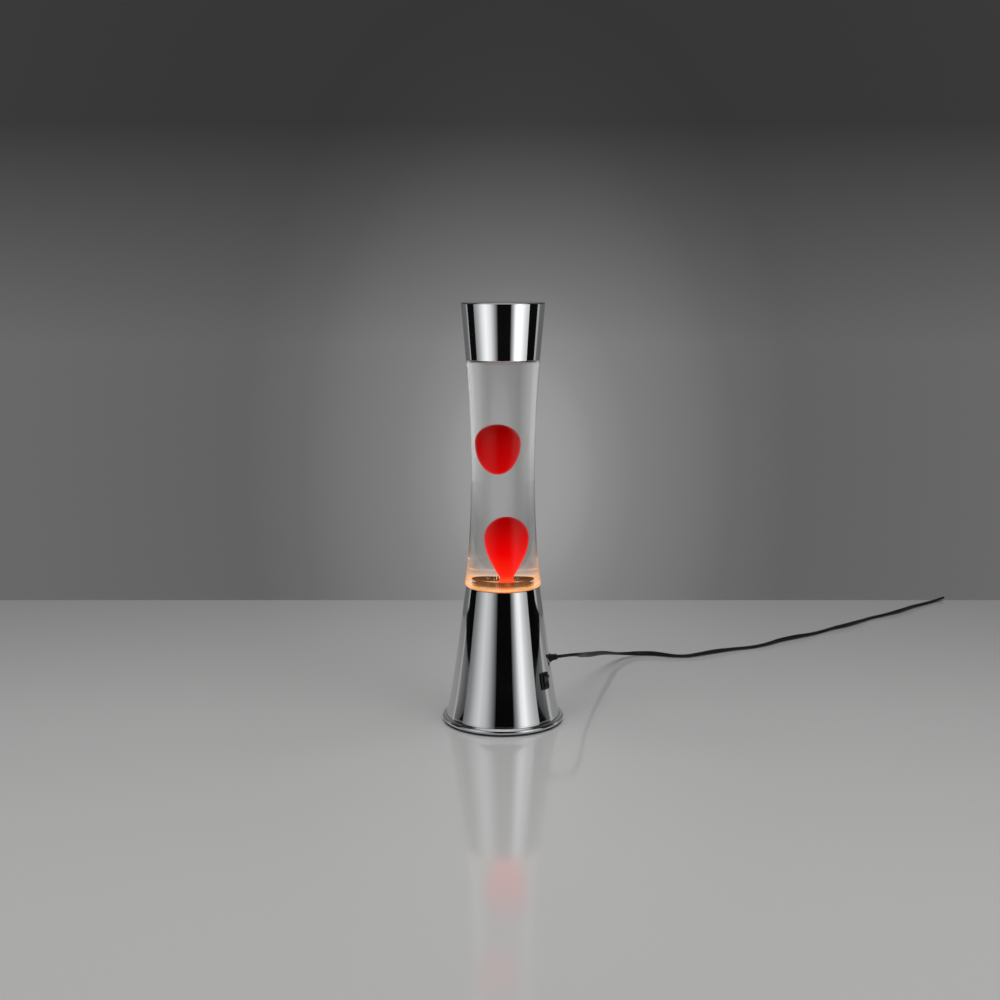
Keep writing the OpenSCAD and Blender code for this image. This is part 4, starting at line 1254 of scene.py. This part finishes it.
    def crown(self) -> bpy.types.Object:
        """Crown cap: a disc whose skirt is fluted by r + depth * (share down) * |cos(n a / 2)|."""
        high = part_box("crown_cap")[1][2]
        sheet, skirt, flutes = self.crown_sheet, self.crown_skirt, self.crown_flutes
        inner, edge = self.finish_r + 0.00015, self.crown_edge
        outer_line = np.vstack([
            [[0.0, high]], arc((inner + sheet - edge, high - edge), edge, 90, 0, 8),
            [[inner + sheet, z] for z in np.linspace(high - edge - 0.0004, high - skirt, 14)]])
        inner_line = outer_line - np.array([sheet, 0.0])
        inner_line[:, 1] -= sheet * (outer_line[:, 1] > high - edge)
        inner_line[0] = (0.0, high - sheet)
        line = np.vstack([inner_line, outer_line[::-1]])
        vertices, faces = turned(line, full_turn(flutes * 16))
        down = np.clip((high - edge - vertices[:, 2]) / (skirt - edge), 0, 1)
        radius = np.hypot(vertices[:, 0], vertices[:, 1])
        turn = np.arctan2(vertices[:, 1], vertices[:, 0])
        flare = self.crown_flare * down * np.abs(np.cos(flutes * turn / 2))
        away = radius > NEAR_ZERO
        factor = np.where(away, 1 + flare / np.where(away, radius, 1.0), 1.0)
        vertices[:, :2] *= factor[:, None]
        return build_mesh("crown_closure", (vertices, faces), 50.0)

    def build(self, looks: Finishes) -> None:
        """Builds and dresses the bottle and what it holds."""
        for make, body, slot, look, part in (
                (self.glass, "bottle", "clear_glass", "clear_glass", "glass_bottle"),
                (self.liquid, "bottle", "liquid", "liquid", "carrier_liquid"),
                (self.wax_column, "bottle", "red_wax", "red_wax", "wax_column"),
                (self.wax_blob, "blob", "red_wax", "blob_wax", "wax_blob"),
                (self.heating_coil, "bottle", "coil_wire", "coil_wire", "heating_coil"),
                (self.crown, "bottle", "crown_steel", "crown_steel", "crown_cap")):
            dress(make(), body, looks[look], (part,))


@dataclass
class TopCap:
    """The chromed cap: a cone that widens upwards, with a flat top and a hem at its lower edge."""

    sheet: float = 0.0008
    edge: float = 0.0014
    hem: float = 0.0016
    hem_h: float = 0.0012
    low_edge: float = 0.0004
    low_r: float = 0.0344
    columns: int = 256

    def shell(self) -> bpy.types.Object:
        """The cap as one closed skin: hem, cone, top edge and top outside, then back inside."""
        low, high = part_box("top_cap")
        top_r, top_z, low_z = high[0], high[2], low[2]
        low_edge = self.low_edge
        cone = np.linspace([self.low_r, low_z + low_edge], [top_r, top_z - self.edge], 60)
        outer = np.vstack([
            [[self.low_r - self.hem, low_z + low_edge]],
            [[self.low_r - self.hem + low_edge, low_z]],
            arc((self.low_r - low_edge, low_z + low_edge), low_edge, -90, 0, 5)[:-1],
            cone,
            arc((top_r - self.edge, top_z - self.edge), self.edge, 0, 90, 12)[1:],
            np.column_stack([np.linspace(top_r - self.edge, 0, 24)[1:], np.full(23, top_z)]),
        ])
        inner = np.vstack([
            [[0.0, top_z - self.sheet]],
            arc((top_r - self.edge, top_z - self.edge), self.edge - self.sheet, 90, 0, 6),
            [[self.low_r - self.sheet + 0.0001, low_z + self.hem_h],
             [self.low_r - self.hem, low_z + self.hem_h]],
            [[self.low_r - self.hem, low_z + low_edge]],
        ])
        under = turned(inner, full_turn(self.columns))
        over = turned(outer, full_turn(self.columns))
        vertices, faces = joined(over, under)
        return build_mesh("chromed_top_cap", (vertices, faces), 40.0)

    def build(self, looks: Finishes) -> None:
        """Builds and dresses the cap."""
        dress(self.shell(), "cap", looks["chrome_shell"], ("top_cap",))


@dataclass
class Switch:
    """The rocker switch: a bezel round a well, and a rocker with two dished faces."""

    base: Base
    bezel: tuple = (0.011, 0.016)
    bezel_t: float = 0.0016
    body: tuple = (0.0094, 0.0132)
    depth: float = 0.012
    skin_gap: float = 0.00015
    rocker_r: float = 0.006
    rocker_w: float = 0.0066
    gap: float = 0.0003
    pivot_x: float = 0.0006
    tilt: float = 10.0

    def frame(self) -> Matrix:
        """The switch's own frame: X out of the shell's face, Z up along it."""
        return self.base.face(-self.base.switch_turn, self.base.switch_z)

    def loop(self, width: float, height: float, corner: float, x: float) -> Array:
        """A rounded rectangle across the switch's frame, at a distance x out of the face."""
        flat = rounded_rectangle(width, height, corner, 6)
        return np.column_stack([np.full(len(flat), x), flat])

    def housing(self) -> bpy.types.Object:
        """Bezel and body: loops from the body's back round the bezel and down into the well."""
        w, h = self.bezel
        bw, bh = self.body
        well_w, well_h = self.rocker_w + 2 * self.gap, 2 * (self.rocker_r + self.gap)
        soft, lip = 0.0005, 0.0003
        loops = np.stack([
            self.loop(bw - 0.001, bh - 0.001, 0.0006, -self.depth),
            self.loop(bw, bh, 0.0008, -self.depth + 0.0006),
            self.loop(bw, bh, 0.0008, self.skin_gap),
            self.loop(w - 0.0002, h - 0.0002, 0.0014, self.skin_gap),
            self.loop(w, h, 0.0015, self.skin_gap + 0.0002),
            self.loop(w, h, 0.0015, self.bezel_t - soft),
            self.loop(w - 0.3 * soft, h - 0.3 * soft, 0.0014, self.bezel_t - 0.3 * soft),
            self.loop(w - soft, h - soft, 0.0013, self.bezel_t),
            self.loop(well_w + 2 * lip, well_h + 2 * lip, 0.0007, self.bezel_t),
            self.loop(well_w, well_h, 0.0005, self.bezel_t - lip),
            self.loop(well_w, well_h, 0.0005, -0.0052),
        ])
        return build_mesh("switch_frame", place(lofted(loops), self.frame()), 40.0)

    def rocker(self) -> bpy.types.Object:
        """The rocker: a round-backed section with two dished faces that meet in a low ridge."""
        ridge = self.bezel_t + 0.0008 - self.pivot_x
        lift, back, r = 0.0012, -0.0024, self.rocker_r
        end = math.degrees(math.asin(min(1.0, (ridge + lift) / r)))
        low = math.degrees(math.asin(back / r))
        z = np.linspace(1, -1, 25)
        dish = ridge + lift * np.abs(z) ** 1.35
        reach = r * math.cos(math.radians(end)) - 0.0003
        face = np.column_stack([dish - 0.0001, z * reach])
        upper = arc((0.0, 0.0), r, 90 - low, 90 - end + 4, 8)
        lower = arc((0.0, 0.0), r, -90 + end - 4, -90 + low, 8)
        section = np.vstack([upper, face, lower])[::-1]
        inset = np.array([0.00035, 0.0001, 0.0, 0.0, 0.0001, 0.00035])
        half = self.rocker_w / 2
        across = np.array([0.0, 0.00012, 0.00045]) - half
        across = np.concatenate([across, -across[::-1]])
        centre = section.mean(axis=0)
        away = section - centre
        away /= np.linalg.norm(away, axis=1, keepdims=True)
        rings = section[None] - inset[:, None, None] * away[None]
        sideways = np.repeat(across[:, None], len(section), 1)
        loops = np.stack([rings[..., 0], sideways, rings[..., 1]], axis=2)
        spot = self.frame() @ Matrix.Translation((self.pivot_x, 0, 0)) @ Matrix.Rotation(
            math.radians(self.tilt), 4, "Y")
        return build_mesh("switch_key", place(lofted(loops), spot), 40.0)

    def build(self, looks: Finishes) -> None:
        """Builds and dresses the switch."""
        dress(self.housing(), "base", looks["switch_black"], ("switch_housing",))
        dress(self.rocker(), "rocker", looks["switch_black"], ("switch_rocker",))


@dataclass
class Lead:
    """The flat mains lead: its strain relief, the run along the table, the coil and the plug."""

    base: Base
    width: float = 0.0052
    thickness: float = 0.003
    length: float = 1.8
    coil_centre: tuple = (0.580, 0.540)
    coil_r: float = 0.0308
    coil_turns: int = 3
    lay_gap: float = 0.0002
    tie: float = 0.0006
    join_turn: float = -56.0
    tail: float = 0.024
    plug_z: float = 0.0069
    plug_size: tuple = (0.037, 0.0353, 0.0138)
    relief_out: float = 0.0074
    relief_in: float = 0.016
    relief_flange: tuple = (0.0043, 0.0014)
    relief_r: tuple = (0.0034, 0.0028)
    # Route of the cord after its exit, as (x, y, z, roll in degrees)
    route: tuple = (
        (0.0577, 0.0055, 0.0600, 10), (0.0631, 0.0081, 0.0599, 20), (0.0676, 0.0121, 0.0592, 25),
        (0.0713, 0.0180, 0.0578, 30), (0.0750, 0.0294, 0.0545, 45), (0.0780, 0.0430, 0.0505, 60),
        (0.0820, 0.0710, 0.0430, 80), (0.0910, 0.1050, 0.0340, 90), (0.1010, 0.1380, 0.0260, 70),
        (0.1120, 0.1680, 0.0180, 40), (0.1240, 0.1950, 0.0100, 20), (0.1360, 0.2110, 0.0055, 40),
        (0.1500, 0.2200, 0.0032, 80), (0.1660, 0.2210, 0.0028, 90), (0.1790, 0.2170, 0.0026, 60),
        (0.1910, 0.2140, 0.0022, 30), (0.2030, 0.2140, 0.0022, 30), (0.2160, 0.2190, 0.0025, 50),
        (0.2380, 0.2310, 0.0027, 70), (0.2600, 0.2430, 0.0022, 30), (0.2810, 0.2520, 0.0018, 10),
        (0.3000, 0.2630, 0.0023, 40), (0.3190, 0.2790, 0.0027, 70), (0.3400, 0.2940, 0.0027, 70),
        (0.3590, 0.3070, 0.0023, 40), (0.3760, 0.3220, 0.0018, 10), (0.3930, 0.3360, 0.0023, 40),
        (0.4110, 0.3480, 0.0027, 70), (0.4310, 0.3670, 0.0025, 50), (0.4500, 0.3870, 0.0018, 10),
        (0.4710, 0.4020, 0.0021, 30), (0.4940, 0.4190, 0.0027, 70), (0.5190, 0.4450, 0.0024, 50),
        (0.5480, 0.4710, 0.0018, 10), (0.5730, 0.4920, 0.0028, 50))

    def exit_frame(self) -> Matrix:
        """Frame of the cord's exit: Z out of the shell along the cord."""
        return self.base.face(self.base.exit_turn, self.base.exit_z) @ Matrix.Rotation(
            math.pi / 2, 4, "Y")

    def exit_point(self) -> Array:
        """Where the cord leaves the strain relief's tip."""
        return np.array(self.exit_frame() @ Matrix.Translation((0, 0, self.relief_out)))[:3, 3]

    def coil_path(self) -> Array:
        """Middle line of the coil, as (x, y, z, roll).

        The turns lie side by side in two layers with the cord on edge: three low ones that step
        inwards, then two high ones that step back out, the steps and the climb spread over a turn.
        """
        pitch = self.thickness + self.lay_gap
        out_r = self.coil_r + pitch * self.coil_turns / 2 - self.thickness / 2 - self.lay_gap / 2
        low, high = self.tie + self.width / 2, self.tie + 1.5 * self.width
        turns, per_turn = 2 * self.coil_turns - 1, 36
        turn = np.arange(0, turns * per_turn + 1) / per_turn
        radius = np.interp(turn, [0, 0.8, 1.2, 1.8, 2.2, 3, 3.4, 4, 5],
                           out_r - pitch * np.array([0, 0, 1, 1, 2, 2, 1.6, 1, 0]))
        z = np.interp(turn, [0, 2.8, 3.2, 5], [low, low, high, high])
        a = math.radians(self.join_turn) + 2 * math.pi * turn
        x = self.coil_centre[0] + radius * np.cos(a)
        y = self.coil_centre[1] + radius * np.sin(a)
        return np.column_stack([x, y, z, np.full_like(x, 90.0)])

    def path(self) -> Array:
        """Middle line of the whole cord, as (x, y, z, roll): exit, run, coil and tail."""
        start = np.append(self.exit_point(), 0.0)
        coil = self.coil_path()
        heading = math.radians(self.join_turn + 90)
        lead = np.array([math.cos(heading), math.sin(heading), 0.0, 0.0])
        arrive = coil[0] - 0.006 * lead
        end = coil[-1] + self.tail * lead
        middle = coil[-1] + self.tail / 2 * lead + np.array([0, 0, -0.0003, -30.0])
        end[2:] = self.plug_z, 0.0
        return np.vstack([start, np.array(self.route), arrive, coil, middle, end])

    def cord(self) -> tuple[bpy.types.Object, Array]:
        """The cord as one oval tube, and the smooth path that it follows."""
        line = smooth_path(self.path(), 5)
        shape = swept(line[:, :3], np.radians(line[:, 3]), self.width, self.thickness, 14)
        return build_mesh("mains_cord", shape, 70.0), line[:, :3]

    def relief(self) -> bpy.types.Object:
        """Strain relief: flange, waist through the shell, and a tapered sleeve with grooves."""
        (flange_r, flange_t), gap, groove = self.relief_flange, 0.00015, 0.0003
        thick, thin = self.relief_r
        inner = -self.base.sheet - 2 * gap
        z = np.linspace(flange_t, self.relief_out - 0.0004, 60)
        share = (z - flange_t) / (self.relief_out - flange_t)
        sleeve = thick - (thick - thin) * share
        sleeve -= groove * (np.sin(3.5 * 2 * math.pi * share) > 0.2)
        sleeve[:3] = thick
        back = inner - self.relief_in
        line = np.vstack([
            [[0.0, back], [0.003, back], [0.004, inner]],
            [[0.0033, inner], [0.0033, gap]],
            [[flange_r, gap]],
            arc((flange_r - 0.0005, flange_t - 0.0005), 0.0005, 0, 90, 5),
            np.column_stack([sleeve, z]),
            [[0.0026, self.relief_out], [0.0, self.relief_out]],
        ])
        shape = place(turned(line, full_turn(64)), self.exit_frame())
        return build_mesh("cord_strain_relief", shape, 40.0)

    def plug(self) -> bpy.types.Object:
        """Plug: squircle sections whose width and height widen from the boot to the flat face."""
        length, width, height = self.plug_size
        stations = np.array([0, .4, 1.5, 2.4, 3.6, 4.2, 5.4, 6.0, 7.2, 7.8, 9, 11, 13, 16, 19, 22,
                             25, 28, 31, 34, 35.6, 36.6, 37])
        x = stations / stations[-1] * length
        share = x / length
        boot_w, boot_h, boot_end, rounding, sides, power = 0.0075, 0.0064, 0.22, 0.985, 48, 0.62
        rise = np.clip((share - 0.3) / 0.5, 0, 1)
        rise = 3 * rise**2 - 2 * rise**3
        wave = np.sin(share * stations[-1] * math.pi / 0.9)
        ribs = np.where(share < boot_end, 0.0004 * (wave > 0), 0.0)
        less = ribs + np.where(share > rounding, 0.001, 0.0)
        wide = boot_w + (width - 0.0005 - boot_w) * rise - less
        tall = boot_h + (height - 0.0004 - boot_h) * rise - less
        turn = full_turn(sides)
        u, v = (np.sign(part) * np.abs(part) ** power / 2 for part in (np.cos(turn), np.sin(turn)))
        loops = np.stack(
            [np.repeat(x[:, None], sides, 1), wide[:, None] * u, tall[:, None] * v], axis=2)
        heading = math.radians(self.join_turn + 90)
        end = self.path()[-1]
        spot = Matrix.Translation(end[:3]) @ Matrix.Rotation(heading, 4, "Z")
        return build_mesh("plug_moulding", place(lofted(loops), spot), 40.0)

    def build(self, looks: Finishes) -> None:
        black = looks["cord_black"]
        cord, path = self.cord()
        plug, relief = self.plug(), self.relief()
        dress(cord, "base", black, ("power_cord", "cord_coil"))
        dress(plug, "base", black, ("plug_body",))
        dress(relief, "base", black, ("strain_relief",))
        tuple(float(v) for v in self.exit_point())


@dataclass
class Bulb:
    """The reflector bulb's glass: a neck that opens as a quarter sine into a bowl with a dome."""

    neck_r: float = 0.00635
    neck_h: float = 0.005
    dome_h: float = 0.24 * 0.067
    columns: int = 96

    def glass(self) -> bpy.types.Object:
        """Neck, bowl and dome as one closed skin with a turned-in foot."""
        low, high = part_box("bulb_glass")
        wide = high[0]
        neck_top = low[2] + self.neck_h
        bowl_z = high[2] - self.dome_h
        t = np.linspace(0, 1, 40)[1:]
        bowl = np.column_stack([
            self.neck_r + (wide - self.neck_r) * np.sin(math.pi / 2 * t),
            neck_top + (bowl_z - neck_top) * (1 - np.cos(math.pi / 2 * t))])
        a = np.radians(np.linspace(0, 90, 32))[1:]
        dome = np.column_stack([wide * np.cos(a), bowl_z + (high[2] - bowl_z) * np.sin(a)])
        dome[-1, 0] = 0.0
        line = np.vstack([
            [[0.0, low[2]], [self.neck_r, low[2]], [self.neck_r, neck_top]], bowl, dome])
        return build_mesh("reflector_bulb", turned(line, full_turn(self.columns)), 50.0)

    def build(self, looks: Finishes) -> None:
        """Builds and dresses the bulb's glass."""
        dress(self.glass(), "bulb", looks["lamp_glass"], ("bulb_glass",))


@dataclass
class PlainParts:
    """The small parts that keep their own shape and get a finish, by slot."""

    slots: dict = field(default_factory=lambda: {
        "zinc_steel": ("plate_screws", "holder_bracket", "bracket_screws", "bracket_nuts",
                       "nipple_nuts", "shell_lugs"),
        "brass": ("holder_nipple", "holder_sleeve", "holder_contact"),
        "nickel": ("bulb_cap", "bulb_contact", "switch_terminals", "plug_pins"),
        "black_steel": ("base_plate",),
        "rubber_pad": ("rubber_feet",),
        "holder_black": ("lamp_holder", "bulb_insulator"),
        "cord_black": ("coil_tie",),
        "wire_brown": ("wire_live",),
        "wire_black": ("wire_switched",),
        "wire_blue": ("wire_neutral",),
        "lamp_glass": ("bulb_stem",),
        "tungsten": ("bulb_filament",),
        "liner": ("crown_liner",),
    })

    def build(self, looks: Finishes) -> None:
        """Assigns each part's finish to its material slots."""
        for slot, names in self.slots.items():
            for name in names:
                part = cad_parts[name]
                if not part.data.materials:
                    part.data.materials.append(looks[slot])
                for i in range(len(part.data.materials)):
                    part.data.materials[i] = looks[slot]
                LOG.info("%s keeps its shape, finish %s", name, looks[slot].name)


# ---------------------------------------------------------------------------
# Studio
# ---------------------------------------------------------------------------


def bare_material(name: str) -> tuple[bpy.types.Material, Shader, bpy.types.NodeSocket]:
    """Starts a material of the studio that gives its own light.

    Args:
        name: Name of the material.

    Returns:
        The material, its shader tools, and the socket that takes its surface.
    """
    material = bpy.data.materials.new(name)
    material.use_nodes = True
    material.node_tree.nodes.clear()
    shader = Shader(material.node_tree)
    return material, shader, shader.node("ShaderNodeOutputMaterial").inputs["Surface"]


@dataclass(frozen=True)
class Card:
    """An upright curved light card round the lamp, unseen by the camera.

    Its azimuth runs from the camera's direction, positive towards +X, and its light follows stops
    along the azimuth.
    """

    name: str
    start: float
    stop: float
    stops: tuple
    strength: float
    radius: float = 1.25
    low: float = -0.35
    high: float = 1.1
    columns: int = 25
    rows: int = 9

    def build(self) -> None:
        """Builds the card and its light: x = r sin a, y = -r cos a, z from low to high."""
        rows, columns = self.rows, self.columns
        a = np.radians(np.linspace(self.start, self.stop, columns))
        z, a = np.meshgrid(np.linspace(self.low, self.high, rows), a, indexing="ij")
        grid = np.stack([self.radius * np.sin(a), -self.radius * np.cos(a), z], axis=2)
        index = np.arange(rows * columns).reshape(rows, columns)
        quads = np.stack([index[:-1, :-1], index[1:, :-1], index[1:, 1:], index[:-1, 1:]], axis=2)
        card = build_mesh(self.name, (grid.reshape(-1, 3), quads.reshape(-1, 4)))
        uv = card.data.uv_layers.new(name="card")
        corner = np.empty(len(card.data.loops), dtype=np.int32)
        card.data.loops.foreach_get("vertex_index", corner)
        share = np.column_stack([corner % columns / (columns - 1), corner // columns / (rows - 1)])
        uv.data.foreach_set("uv", share.astype(np.float32).ravel())
        material, shader, surface = bare_material(self.name + "_light")
        along = shader.split(shader.node("ShaderNodeTexCoord").outputs["UV"])["X"]
        light = shader.emission(shader.ramp(along, greys(self.stops)), self.strength)
        shader.link(light, surface)
        card.data.materials.append(material)
        card.visible_camera = False


@dataclass
class Studio:
    """Pale floor, grey wall with a soft halo, light cards, an overhead light and the camera."""

    camera_at: tuple = (-0.00274, -1.3245, 0.42964)
    pitch: float = 9.34
    lens: float = 51.70
    wall_y: float = 0.489
    wall_ends: tuple = (-1.10, 1.42)
    floor_front: float = -1.1
    floor_side: float = 0.75
    floor_reach: float = 3.0
    floor_tones: tuple = (
        (0.0, (0.47, 0.468, 0.465)), (0.5, (0.46, 0.458, 0.456)), (1.0, (0.385, 0.384, 0.383)))
    wall_top: float = 2.2
    halo: tuple = (0.02, 0.165)
    halo_flat: float = 0.6
    halo_reach: float = 1.4
    wall_tones: tuple = (
        (0.0, 0.335), (0.036, 0.325), (0.057, 0.295), (0.071, 0.258), (0.106, 0.207),
        (0.164, 0.168), (0.196, 0.141), (0.25, 0.122), (0.386, 0.132), (0.56, 0.145), (0.75, 0.42))
    side_tones: tuple = ((0.10, 0.0), (0.20, 0.16), (0.35, 0.32), (0.60, 0.36), (1.0, 0.10))
    room_tones: tuple = ((0.004, ""), (0.08, "Is Transmission Ray"), (0.30, "Is Camera Ray"))
    overhead_size: tuple = (1.8, 1.4)
    overhead_at: tuple = (0.0, -0.35, 1.7)
    overhead_watts: float = 29.7
    strip_x: float = 0.9
    strip_y: tuple = (-0.5, 0.1)
    strip_z: float = 1.3

    def camera(self) -> None:
        """Places the camera in front of the lamp, looking along +Y and a little down."""
        data = bpy.data.cameras.new("front_camera")
        data.lens = self.lens
        data.sensor_width = 36.0
        camera = bpy.data.objects.new("front_camera", data)
        camera.location = self.camera_at
        camera.rotation_euler = (math.radians(90 - self.pitch), 0, 0)
        bpy.context.scene.collection.objects.link(camera)
        bpy.context.scene.camera = camera

    def plane(self, name: str, corners: list[tuple[float, float, float]]) -> bpy.types.Object:
        """Makes a flat piece of the stage.

        Args:
            name: Name of the piece.
            corners: Its four corners, anticlockwise as seen from its front.

        Returns:
            The new object.
        """
        shape = (np.array(corners), np.array([[0, 1, 2, 3]]))
        piece = build_mesh(name, shape)
        return piece

    def floor(self) -> None:
        """The pale floor: satin, brighter in front; its far sides stay out of reflections."""
        reach, side, front = self.floor_reach, self.floor_side, self.floor_front
        finish = Finish("floor_satin", (0.5, 0.5, 0.5), 0.11)
        shader = finish.shader
        depth = shader.share(shader.split(shader.position())["Y"], (-0.45, self.wall_y))
        finish.feed("Base Color", shader.ramp(depth, list(self.floor_tones)))
        finish.set("IOR", 1.8)
        for name, low, high in (("pale_floor", -side, side), ("floor_left", -reach, -side),
                                ("floor_right", side, reach)):
            piece = self.plane(
                name, [(low, front, 0), (high, front, 0), (high, reach, 0), (low, reach, 0)])
            piece.visible_glossy = name == "pale_floor"
            piece.data.materials.append(finish.material)

    def wall(self) -> None:
        """The grey wall, which gives its own light: a halo round the lamp, dimmer high up.

        Rays bent by the glass find it paler at the sides. It is clear when seen from behind.
        """
        (left, right), y, top = self.wall_ends, self.wall_y, self.wall_top
        piece = self.plane(
            "grey_wall", [(left, y, 0), (right, y, 0), (right, y, top), (left, y, top)])
        material, shader, surface = bare_material("wall_grey")
        away = shader.reach((self.halo[0], 0.0, self.halo[1]), (1.0, 0.0, self.halo_flat))
        tone = shader.ramp(shader.share(away, (0.0, self.halo_reach)), greys(self.wall_tones))
        at = shader.split(shader.position())
        fade = shader.share(at["Z"], (0.33, 0.60), (1.0, 0.30))
        aside = shader.joined("ShaderNodeMath", at["X"], operation="ABSOLUTE")
        bent = shader.node("ShaderNodeLightPath").outputs["Is Transmission Ray"]
        rise = shader.share(at["Z"], (0.06, 0.20), (0.25, 1.0))
        through = shader.emission(
            shader.ramp(aside, greys(self.side_tones)), shader.product(bent, rise))
        front = shader.joined("ShaderNodeAddShader", shader.emission(tone, fade), through)
        clear = shader.node("ShaderNodeBsdfTransparent").outputs[0]
        behind = shader.node("ShaderNodeNewGeometry").outputs["Backfacing"]
        shader.link(shader.joined("ShaderNodeMixShader", behind, front, clear), surface)
        piece.data.materials.append(material)

    def overhead(self) -> None:
        """A wide soft light above the table, which no mirror shows."""
        data = bpy.data.lights.new("overhead", "AREA")
        data.shape = "RECTANGLE"
        data.size, data.size_y = self.overhead_size
        data.energy = self.overhead_watts
        light = bpy.data.objects.new("overhead", data)
        light.location = self.overhead_at
        light.visible_camera = False
        light.visible_glossy = False
        bpy.context.scene.collection.objects.link(light)

    def strip(self) -> None:
        """A light strip above the lamp that only mirrors show: thin lines on rolled edges."""
        (near, far), x, z = self.strip_y, self.strip_x, self.strip_z
        piece = self.plane(
            "overhead_strip", [(-x, near, z), (-x, far, z), (x, far, z), (x, near, z)])
        material, shader, surface = bare_material("strip_light")
        shader.link(shader.emission(None, 1.0), surface)
        piece.data.materials.append(material)
        for ray in ("camera", "diffuse", "transmission", "shadow"):
            setattr(piece, "visible_" + ray, False)

    def room(self) -> None:
        """The room beyond: dark in reflections, dim through glass, pale where it is looked at."""
        world = bpy.data.worlds.new("studio_room")
        world.use_nodes = True
        bpy.context.scene.world = world
        world.node_tree.nodes.clear()
        shader = Shader(world.node_tree)
        rays = shader.node("ShaderNodeLightPath")
        last = None
        for tone, kind in self.room_tones:
            background = shader.node("ShaderNodeBackground")
            background.inputs["Color"].default_value = (tone, tone, tone, 1)
            light = background.outputs[0]
            last = light if last is None else shader.joined(
                "ShaderNodeMixShader", rays.outputs[kind], last, light)
        shader.link(last, shader.node("ShaderNodeOutputWorld").inputs["Surface"])

    def build(self) -> None:
        """Builds the whole studio."""
        self.camera()
        self.floor()
        self.wall()
        self.overhead()
        self.strip()
        self.room()
        Card("left_card", -87, -15.5, (
            (0.0, 0.22), (0.18, 0.40), (0.38, 0.80), (0.52, 1.0), (0.72, 0.75), (0.9, 0.28),
            (1.0, 0.05)), 1.1).build()
        Card("right_card", 21.5, 77, (
            (0.0, 0.05), (0.14, 0.30), (0.30, 0.85), (0.45, 1.0), (0.62, 0.66), (0.85, 0.42),
            (1.0, 0.36)), 1.75).build()
        LOG.info("studio: floor, wall, two cards, overhead light and camera")


def main() -> None:
    """Builds the studio and every sub-assembly in order."""
    logging.basicConfig(level=logging.INFO, format="%(name)s: %(message)s")
    bpy.context.scene.view_settings.view_transform = "Standard"
    studio = Studio()
    studio.build()
    looks = finishes()
    base = Base()
    for assembly in (Lead(base), base, Switch(base), Bottle(), TopCap(), Bulb(), PlainParts()):
        LOG.info("building %s", type(assembly).__name__)
        assembly.build(looks)


if __name__ == "__main__":
    main()
